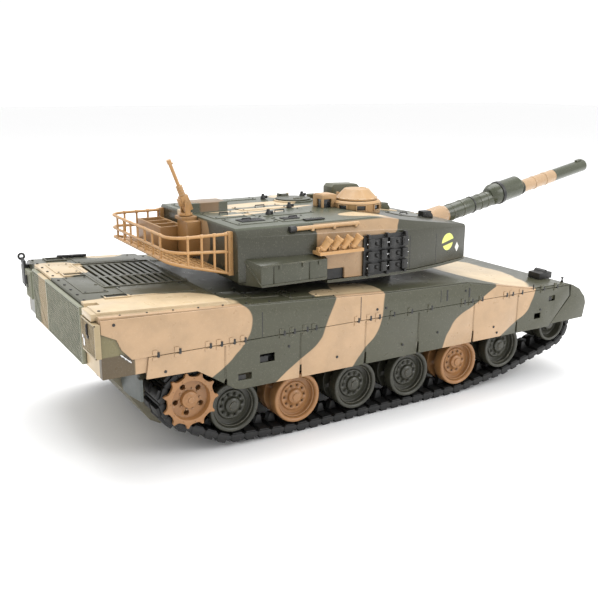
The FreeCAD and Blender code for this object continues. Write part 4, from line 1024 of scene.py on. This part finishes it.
def wheel_details():
    """Each wheel with a ring of nuts, a hub cap and a stepped rim."""
    for word, side in SIDES:
        out = Vector((0, side, 0))
        for index in range(1, 7):
            node = "road_wheel_%s_%d" % (word, index)
            look = "shaded_wheel_tan" if index in TAN_WHEELS else "shaded_wheel_green"
            eased(node, look, 0.3)
            kit = Kit(node + "_nuts", node, look, "camo_wheel")
            hub = outer_face(node, side, 2.0)
            kit.turned(hub - out * 1.0 * MM, out,
                       [(3.7, 0), (3.7, 0.9), (3.3, 1.3), (2.4, 1.45), (2.2, 2.1), (1.2, 2.3), (0, 2.3)], 20)
            dish = outer_face(node, side, 4.6)
            for angle in turns(10, 0.5):
                kit.hex_bolt(dish + spoke(angle) * 6.2 * MM, out, 0.62, 0.7)
            ring = [dish + out * 2.6 * MM + spoke(angle) * 11.0 * MM for angle in turns(40)]
            kit.tube(ring, 0.35, 8, closed=True)
            kit.done()
        eased("idler_" + word, "shaded_wheel_green", 0.3)
        eased("sprocket_" + word, "shaded_wheel_tan", 0.2)
        node = "sprocket_" + word
        kit = Kit("sprocket_bolts_" + word, node, "shaded_wheel_tan", "camo_wheel")
        for angle in turns(11, 0.5):
            spot = outer_face(node, side, 0.3) + spoke(angle) * 11.3 * MM
            kit.bolt(spot - out * 0.1 * MM, out, 0.55, 0.4)
        hub = outer_face(node, side, 3.0)
        kit.turned(hub, out, [(4.0, 0), (4.0, 1.4), (3.2, 2.0), (1.6, 2.2), (1.4, 2.7), (0, 2.7)], 20)
        for angle in turns(10):
            kit.hex_bolt(outer_face(node, side, 3.4) + spoke(angle) * 5.6 * MM, out, 0.5, 0.6)
        kit.done()


# ---------------------------------------------------------------- turret
# Raised plates on the roof, as (rear X, front X, right Y, left Y).
ROOF_PLATES = ((16, 40, -42, -22), (42, 62, -44, -30), (38, 74, -24, -6), (14, 34, -18, 2), (40, 70, 0, 14),
               (14, 34, 26, 44), (40, 70, 40, 48), (132, 150, -30, -14), (130, 150, 22, 38))
# Handles as (X, Y, length), caps as (X, Y), and louvred vents as (X, Y, length, width).
ROOF_HANDLES = ((26, -32, 5), (52, -37, 5), (56, -15, 6), (24, -8, 5), (55, 7, 6), (24, 35, 5), (140, -22, 5))
ROOF_CAPS = ((70, -2), (74, 38), (98, 30), (46, -20))
ROOF_VENTS = ((28, -33, 14, 9), (50, -37, 10, 6), (60, -46, 12, 4), (26, 35, 14, 9), (110, 12, 4, 6))


def turret_details():
    """Roof plates, bolts and handles, stowed masts, seams with a near-black plate of painted shade in each
    side notch, vents and the stowage boxes' lids.
    """
    shell = Surface("turret_shell")
    plates = Kit("roof_plates", "turret", "turret", "camo_shell")
    bolts = Kit("roof_bolts", "turret")
    for x0, x1, y0, y1 in ROOF_PLATES:
        spot, normal = shell.below((x0 + x1) / 2, (y0 + y1) / 2)
        plates.block(spot, (x1 - x0, y1 - y0, 0.8), facing(normal), 0.22)
        for x in (x0 + 1.5, x1 - 1.5):
            for y in (y0 + 1.5, y1 - 1.5):
                spot, normal = shell.below(x, y)
                bolts.bolt(spot + normal * 0.38 * MM, normal, 0.5, 0.35)
    handles = Kit("roof_handles", "turret")
    for x, y, across in ROOF_HANDLES:
        spot, normal = shell.below(x, y)
        half = across / 2
        bend = ((-half, 0.4), (-half, 1.6), (half, 1.6), (half, 0.4))
        points = [spot + Vector((dx, 0, dz)) * MM for dx, dz in bend]
        handles.tube(points, 0.35, 8)
    handles.done()
    plates.done()
    bolts.done()

    mast = Kit("stowed_mast", "turret", "tan", "tan_plastic")
    dark_end = Kit("stowed_mast_base", "turret")
    for side in (-1, 1):
        spot, normal = shell.from_side(side, 41, 109.0)
        start = spot + normal * 1.0 * MM
        spot, normal = shell.from_side(side, 83, 109.2)
        end = spot + normal * 1.0 * MM
        mast.tube([start, end], 1.15, 12)
        for share in (0.3, 0.62, 0.95):
            mast.block(start.lerp(end, share) - Vector((0, 0, 0.9)) * MM, (1.6, 2.6, 1.8), None, 0.3)
        heading = (end - start).normalized()
        dark_end.turned(start - heading * 1.2 * MM, heading,
                        [(1.5, 0), (1.8, 0.3), (1.8, 3.4), (1.2, 4.2), (0, 4.2)], 16)
    mast.done()
    dark_end.done()

    seams = Kit("turret_seams", "turret", "pit")
    for side in (-1, 1):
        for x, z0, z1 in ((117.2, 80.6, 101.5), (139.4, 80.8, 99.5)):
            z = z0
            while z < z1 - 1.5:
                spot, normal = shell.from_side(side, x, z + 0.75)
                seams.block(spot - normal * 0.12 * MM, (0.45, 1.55, 0.3), facing(normal), 0.0)
                z += 1.5
        # A near-black plate in each side notch: painted shade.
        seams.block(at(66.1, side * 55.7, 83.4), (13.6, 0.3, 5.8), None, 0)
    seams.done()

    vents = Kit("roof_vents", "turret")
    for x, y, length, width in ROOF_VENTS:
        spot, normal = shell.below(x, y)
        for i in range(5):
            louvre = spot + Vector((0, (i - 2) * width / 5, 0.5)) * MM
            vents.block(louvre, (length, width / 9, 0.7), None, 0.1)
    for x, y in ROOF_CAPS:
        spot, normal = shell.below(x, y)
        vents.turned(spot - UP * 0.2 * MM, UP, [(1.6, 0), (1.6, 1.6), (1.0, 2.4), (0.9, 3.6), (0, 3.8)], 14)
        vents.block(spot + Vector((1.4, 0, 1.4)) * MM, (3.2, 1.4, 1.8), None, 0.3)
    vents.done()

    boxes = Kit("stowage_box_lids", "turret", "green", "camo_shell")
    for side in (-1, 1):
        boxes.block(at(38.5, side * 61.9, 93.4), (38.0, 0.7, 0.8))
        boxes.block(at(38.5, side * 61.9, 83.0), (39.0, 0.8, 1.2), None, 0.25)
        boxes.tube([at(13.4, side * 52.8, 96.4), at(19.2, side * 61.7, 83.2)], 0.5, 8)
        for x in (30.0, 44.0, 54.0):
            boxes.block(at(x, side * 62.1, 92.2), (1.6, 0.7, 2.6))
    boxes.done()


def rack_details():
    """Spare links: pads with rounded ends, silver connectors and the rack's dark clamps."""
    pads = Kit("spare_links", "turret")
    pins = Kit("spare_link_pins", "turret", "silver")
    boxes = []
    for points in islands("spare_track_links"):
        xs, ys, zs = zip(*points)
        boxes.append((Vector((min(xs), min(ys), min(zs))), Vector((max(xs), max(ys), max(zs)))))
    for low, high in boxes:
        side = 1 if low.y > 0 else -1
        outer = high.y if side > 0 else low.y
        centre = (low + high) / 2
        size = (high - low) / MM
        for share in (-0.34, 0.34):
            spot = Vector((centre.x + share * size.x * MM, outer - side * 1.6 * MM, centre.z))
            pads.block(spot, (size.x * 0.3, 3.2, size.z - 0.5), None, 0.5)
            pads.block(spot + Vector((0, side * 1.5, 0)) * MM, (size.x * 0.2, 0.8, size.z - 2.4), None, 0.3)
        web = Vector((centre.x, outer - side * 2.4 * MM, centre.z))
        pads.block(web, (size.x * 0.98, 2.4, size.z - 1.8), None, 0.4)
        pads.turned(web + Vector((0, side * 0.9, 0)) * MM, Vector((0, side, 0)),
                    [(1.5, 0), (1.3, 0.9), (0.7, 1.4), (0, 1.4)], 14)
        for end in (-0.46, 0.46):
            spot = Vector((centre.x + end * size.x * MM, outer - side * 0.9 * MM, centre.z - 1.5 * MM))
            pins.tube([spot, spot + Vector((0, 0, 3.0)) * MM], 0.42, 8)
            pins.tube([spot + Vector((-0.9, 0, 1.5)) * MM, spot + Vector((0.9, 0, 1.5)) * MM], 0.36, 8)
    for side in (-1, 1):
        pads.block(at(98.8, side * 58.6, 91.6), (29.0, 1.4, 22.6), None, 0.3)
        for x in (86.6, 99.4, 112.0):
            pads.block(at(x, side * 60.4, 102.6), (1.6, 2.6, 2.4), None, 0.3)
            pads.block(at(x, side * 60.6, 81.2), (1.6, 2.0, 1.6), None, 0.3)
    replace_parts(pads.done(), "spare_track_links")
    pins.done()


def launcher_details():
    """Smoke tubes with ringed mouths, and a stay behind each."""
    for word, side in SIDES:
        kit = Kit("smoke_tubes_" + word, "turret", "basket", "tan_plastic")
        lean = Vector((0.50, side * 0.28, 0.82)).normalized()
        for i in range(4):
            foot = at(55.5 + 6.4 * i, side * 60.4, 97.2)
            kit.turned(foot + lean * 1.0 * MM, lean,
                       [(2.0, 0), (2.25, 0.3), (2.25, 1.4), (2.0, 1.7), (2.0, 6.2), (2.3, 6.5), (2.3, 7.8),
                        (2.0, 8.0), (1.35, 8.0), (1.35, 5.0), (0, 5.0)], 20)
            kit.block(foot + Vector((-1.6, 0, 1.2)) * MM, (1.2, 2.6, 3.0), None, 0.3)
        kit.done()


# The hatch's hinge is where an angle's sine passes this, so that place has no bolt.
HINGE_SIDE = 0.9


def cupola_details():
    """Vision blocks with dark glass, the bracket's visor and its glass, and the hatch's rim bolts."""
    centre = at(110.0, -14.0, 0)
    glass = Kit("vision_blocks", "turret", "glass")
    frames = Kit("vision_frames", "turret", "tan", "camo_shell")
    for angle in turns(8, 0.5):
        out = Vector((math.cos(angle), math.sin(angle), 0))
        turn = facing(UP, out)
        spot = centre + out * 13.6 * MM
        spot.z = 112.5 * MM
        glass.block(spot, (0.8, 4.6, 2.8), turn, 0.15)
        for z, tall in ((110.9, 0.6), (114.2, 0.6)):
            rim = centre + out * 14.5 * MM
            rim.z = z * MM
            frames.block(rim, (0.9, 6.2, tall), turn, 0.15)
        for shift in (-2.9, 2.9):
            rim = centre + out * 14.45 * MM + Vector((-out.y, out.x, 0)) * shift * MM
            rim.z = 112.5 * MM
            frames.block(rim, (0.9, 0.6, 3.4), turn, 0.15)
    glass.block(at(90.6, -11.35, 114.2), (4.8, 0.4, 5.2), None, 0.1)
    glass.block(at(87.45, -8.7, 114.2), (0.4, 4.4, 5.2), None, 0.1)
    glass.done()
    frames.block(at(91.7, -7.2, 119.6), (8.6, 8.8, 0.7))
    frames.done()
    lid = Kit("hatch_bolts", "commander_hatch", "tan", "camo_shell")
    for angle in turns(12):
        if math.sin(angle) > HINGE_SIDE:
            continue
        spot = centre + Vector((math.cos(angle), math.sin(angle), 0)) * 12.25 * MM
        spot.z = 117.6 * MM
        lid.bolt(spot, UP, 0.35, 0.3)
    lid.done()


# Ahead of the roof's break it falls forward, by this much for each millimetre.
ROOF_BREAK_X = 95.0
ROOF_FALL = (ROOF_Z - 99.8) / 81.0
PRISM_BOXES = ((151.0, 14.0), (157.0, -23.0), (122.0, 42.0))


def sight_details():
    """Dark glass and two shutters in the hooded sight, and a dark front on each prism box."""
    glass = Kit("sight_glass", "turret", "glass")
    glass.block(at(128.0, 15.0, 115.6), (0.6, 6.8, 5.8), None, 0.1)
    hood = Kit("sight_shutters", "turret")
    for y in (12.4, 17.6):
        hood.block(at(128.5, y, 115.6), (0.6, 0.5, 5.8), None, 0.1)
    for x, y in PRISM_BOXES:
        top = ROOF_Z - ROOF_FALL * (x - ROOF_BREAK_X)
        hood.block(at(x + 2.75, y, top + 2.9), (0.5, 4.0, 2.0), None, 0.1)
    glass.done()
    hood.done()


RAIL_Z = 109.0


def basket_details():
    """Small clamps where the basket's bars cross, and bolts on its end clips."""
    kit = Kit("basket_clamps", "turret", "basket", "basket_tan")
    low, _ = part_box("basket")
    rear = low.x / MM - HULL_X + 0.8
    for side in (-1, 1):
        for x in (-14.5, -7.0, 0.0, 6.5):
            kit.turned(at(x - 1.0, side * 47.0, RAIL_Z), FORWARD,
                       [(0.8, 0), (1.05, 0.3), (1.05, 1.7), (0.8, 2.0)], 12)
        for z in (90.5, 99.0, 107.0):
            kit.bolt(at(8.6, side * 48.2, z), Vector((0, side, 0)), 0.55, 0.4)
    for i in range(7):
        y = -33.0 + 11.0 * i
        kit.turned(at(rear, y - 1.0, RAIL_Z), Vector((0, 1, 0)),
                   [(0.8, 0), (0.95, 0.3), (0.95, 1.7), (0.8, 2.0)], 12)
    kit.done()


def marking():
    """A made-up unit marking on the turret's front cheeks: a disc split by a bar, and a small diamond."""
    shell = Surface("turret_shell")
    for word, side in SIDES:
        yellow = Kit("unit_disc_" + word, "turret", "yellow", "camo_shell")
        white = Kit("unit_diamond_" + word, "turret", "white", "camo_shell")
        spot, normal = shell.from_side(side, 151.0, 92.0)
        turn = facing(normal)
        for start, stop, grow in ((0.1, 1.0, 1.0), (1.12, 1.97, 0.85)):
            angles = [math.pi * (start + (stop - start) * k / 10) for k in range(11)]
            arc = [Vector((6.2 * grow * math.cos(a), 5.6 * grow * math.sin(a), -0.02)) for a in angles]
            outline = [spot + turn @ (point * MM) for point in arc]
            yellow.slab(outline, normal * 0.07 * MM, 0)
        spot, normal = shell.from_side(side, 160.6, 88.0)
        turn = facing(normal)
        corners = ((-2.2, 0), (0, -3.0), (2.2, 0), (0, 3.0))
        outline = [spot + turn @ (Vector((u, v, -0.02)) * MM) for u, v in corners]
        white.slab(outline, normal * 0.07 * MM, 0)
        yellow.done()
        white.done()


# ---------------------------------------------------------------- gun
def along_gun(u, rise=0.0):
    """A point on the barrel's axis, u millimetres from the trunnion."""
    x = GUN_X + u * math.cos(GUN_ELEVATION) - rise * math.sin(GUN_ELEVATION)
    z = GUN_Z + u * math.sin(GUN_ELEVATION) + rise * math.cos(GUN_ELEVATION)
    return at(x, 0, z)


# The sleeve's bands, as (distance from the trunnion, the barrel's radius there).
SLEEVE_BANDS = ((48, 5.7), (57, 5.7), (73, 5.4), (79, 5.4), (126, 4.5), (137, 4.5))


def gun_details():
    """The evacuator's dark clamp, the sleeve's bands and the muzzle's reference block."""
    heading = (along_gun(10) - along_gun(0)).normalized()
    dark = Kit("evacuator_clamp", "gun")
    dark.turned(along_gun(91.3, 1.7), heading, [(7.3, 0), (8.05, 0.1), (8.05, 2.3), (7.3, 2.4)], 40)
    dark.turned(along_gun(66.2), heading, [(5.3, 0), (5.95, 0.1), (5.95, 0.9), (5.3, 1.0)], 36)
    dark.turned(along_gun(113.4), heading, [(4.4, 0), (5.2, 0.1), (5.2, 0.8), (4.4, 0.9)], 36)
    dark.done()
    bands = Kit("sleeve_bands", "gun", "gun", "camo_shell")
    for u, radius in SLEEVE_BANDS:
        bands.turned(along_gun(u), heading,
                     [(radius - 0.1, 0), (radius + 0.22, 0.1), (radius + 0.22, 1.1), (radius - 0.1, 1.2)], 36)
    up = heading.cross(Vector((0, -1, 0)))
    if up.z < 0:
        up = -up
    turn = Matrix((heading, up.cross(heading), up)).transposed()
    bands.block(along_gun(174.5, 4.4), (4.6, 3.0, 1.4), turn, 0.3)
    bands.done()


def machine_gun_details():
    """Rings round the body, plates before and behind it, a front sight and a bent bar below."""
    pivot = at(5.0, 1.0, 119.5)
    lean = math.radians(21)
    up = Vector((-math.sin(lean), 0, math.cos(lean)))
    forward = Vector((math.cos(lean), 0, math.sin(lean)))
    turn = Matrix((forward, Vector((0, 1, 0)), up)).transposed()
    kit = Kit("machine_gun_details", "machine_gun", "tan", "tan_plastic")

    def spot(u, v, w):
        return pivot + turn @ (Vector((u, v, w)) * MM)
    for w in (4.4, 6.0, 7.6, 9.2):
        kit.turned(spot(0, 0, w), up, [(1.6, 0), (1.95, 0.15), (1.95, 0.6), (1.6, 0.75)], 16)
    kit.block(spot(-2.5, 0, 1.0), (0.6, 3.2, 4.6), turn)
    kit.block(spot(2.4, 0, -1.0), (0.5, 2.4, 5.0), turn)
    kit.block(spot(1.3, 0, 22.6), (1.0, 0.4, 0.9), turn, 0.1)
    grip = ((1.2, -4.8), (1.2, -5.2), (-1.2, -5.2), (-1.2, -4.8))
    kit.tube([spot(-1.3, v, w) for v, w in grip], 0.3, 8)
    kit.done()


# ---------------------------------------------------------------- stage, lights and camera
def stage():
    """A white floor and a white surround."""
    floor_mesh = bpy.data.meshes.new("studio_floor")
    half = 6.0
    corners = [(-half, -half, 0), (half, -half, 0), (half, half, 0), (-half, half, 0)]
    floor_mesh.from_pydata(corners, [], [(0, 1, 2, 3)])
    floor = bpy.data.objects.new("studio_floor", floor_mesh)
    bpy.context.scene.collection.objects.link(floor)
    material = bpy.data.materials.new("studio_white")
    material.use_nodes = True
    shader = material.node_tree.nodes["Principled BSDF"]
    shader.inputs["Base Color"].default_value = (0.93, 0.93, 0.93, 1)
    shader.inputs["Roughness"].default_value = 0.75
    floor_mesh.materials.append(material)
    world = bpy.data.worlds.new("studio")
    world.use_nodes = True
    world.node_tree.nodes["Background"].inputs[0].default_value = (1.0, 1.0, 1.0, 1)
    world.node_tree.nodes["Background"].inputs[1].default_value = 1.04
    bpy.context.scene.world = world
    bpy.context.scene.view_settings.view_transform = "Standard"


def soft_light(name, spot, target, size, watts):
    data = bpy.data.lights.new(name, "AREA")
    data.shape = "RECTANGLE"
    data.size, data.size_y = size
    data.energy = watts
    lamp = bpy.data.objects.new(name, data)
    lamp.location = spot
    lamp.rotation_euler = (target - spot).to_track_quat("-Z", "Y").to_euler()
    bpy.context.scene.collection.objects.link(lamp)


def lights():
    """A broad soft light overhead and a smaller one from the right."""
    aim = at(90, 0, 60)
    soft_light("overhead", aim + Vector((0.15, 0.35, 1.1)), aim, (1.2, 1.0), 14)
    soft_light("key", aim + Vector((0.7, -1.0, 0.7)), aim, (0.7, 0.7), 7)


def camera():
    """A long lens at the rear right corner, a little above the deck."""
    data = bpy.data.cameras.new("camera")
    data.sensor_width = 36
    data.lens = 48.57
    data.clip_start = 0.01
    eye = bpy.data.objects.new("camera", data)
    azimuth, elevation, roll = math.radians(-30.95), math.radians(14.98), math.radians(0.33)
    back = Vector((math.sin(azimuth) * math.cos(elevation), -math.cos(azimuth) * math.cos(elevation),
                   math.sin(elevation)))
    target = at(78.46, 0, 54.37)
    eye.location = target + back * 500.06 * MM
    turn = (-back).to_track_quat("-Z", "Y").to_matrix() @ Matrix.Rotation(roll, 3, "Z")
    eye.rotation_euler = turn.to_euler()
    bpy.context.scene.collection.objects.link(eye)
    bpy.context.scene.camera = eye


# ---------------------------------------------------------------- the whole tank
camera()
stage()
lights()
deck = Surface("upper_hull")
hull_shells()
deck_details(deck)
grille_details(deck)
rear_details()
side_details()
fender_details()
tracks()
wheel_details()
turret_shells()
turret_details()
rack_details()
launcher_details()
cupola_details()
sight_details()
basket_details()
marking()
gun_details()
machine_gun_details()
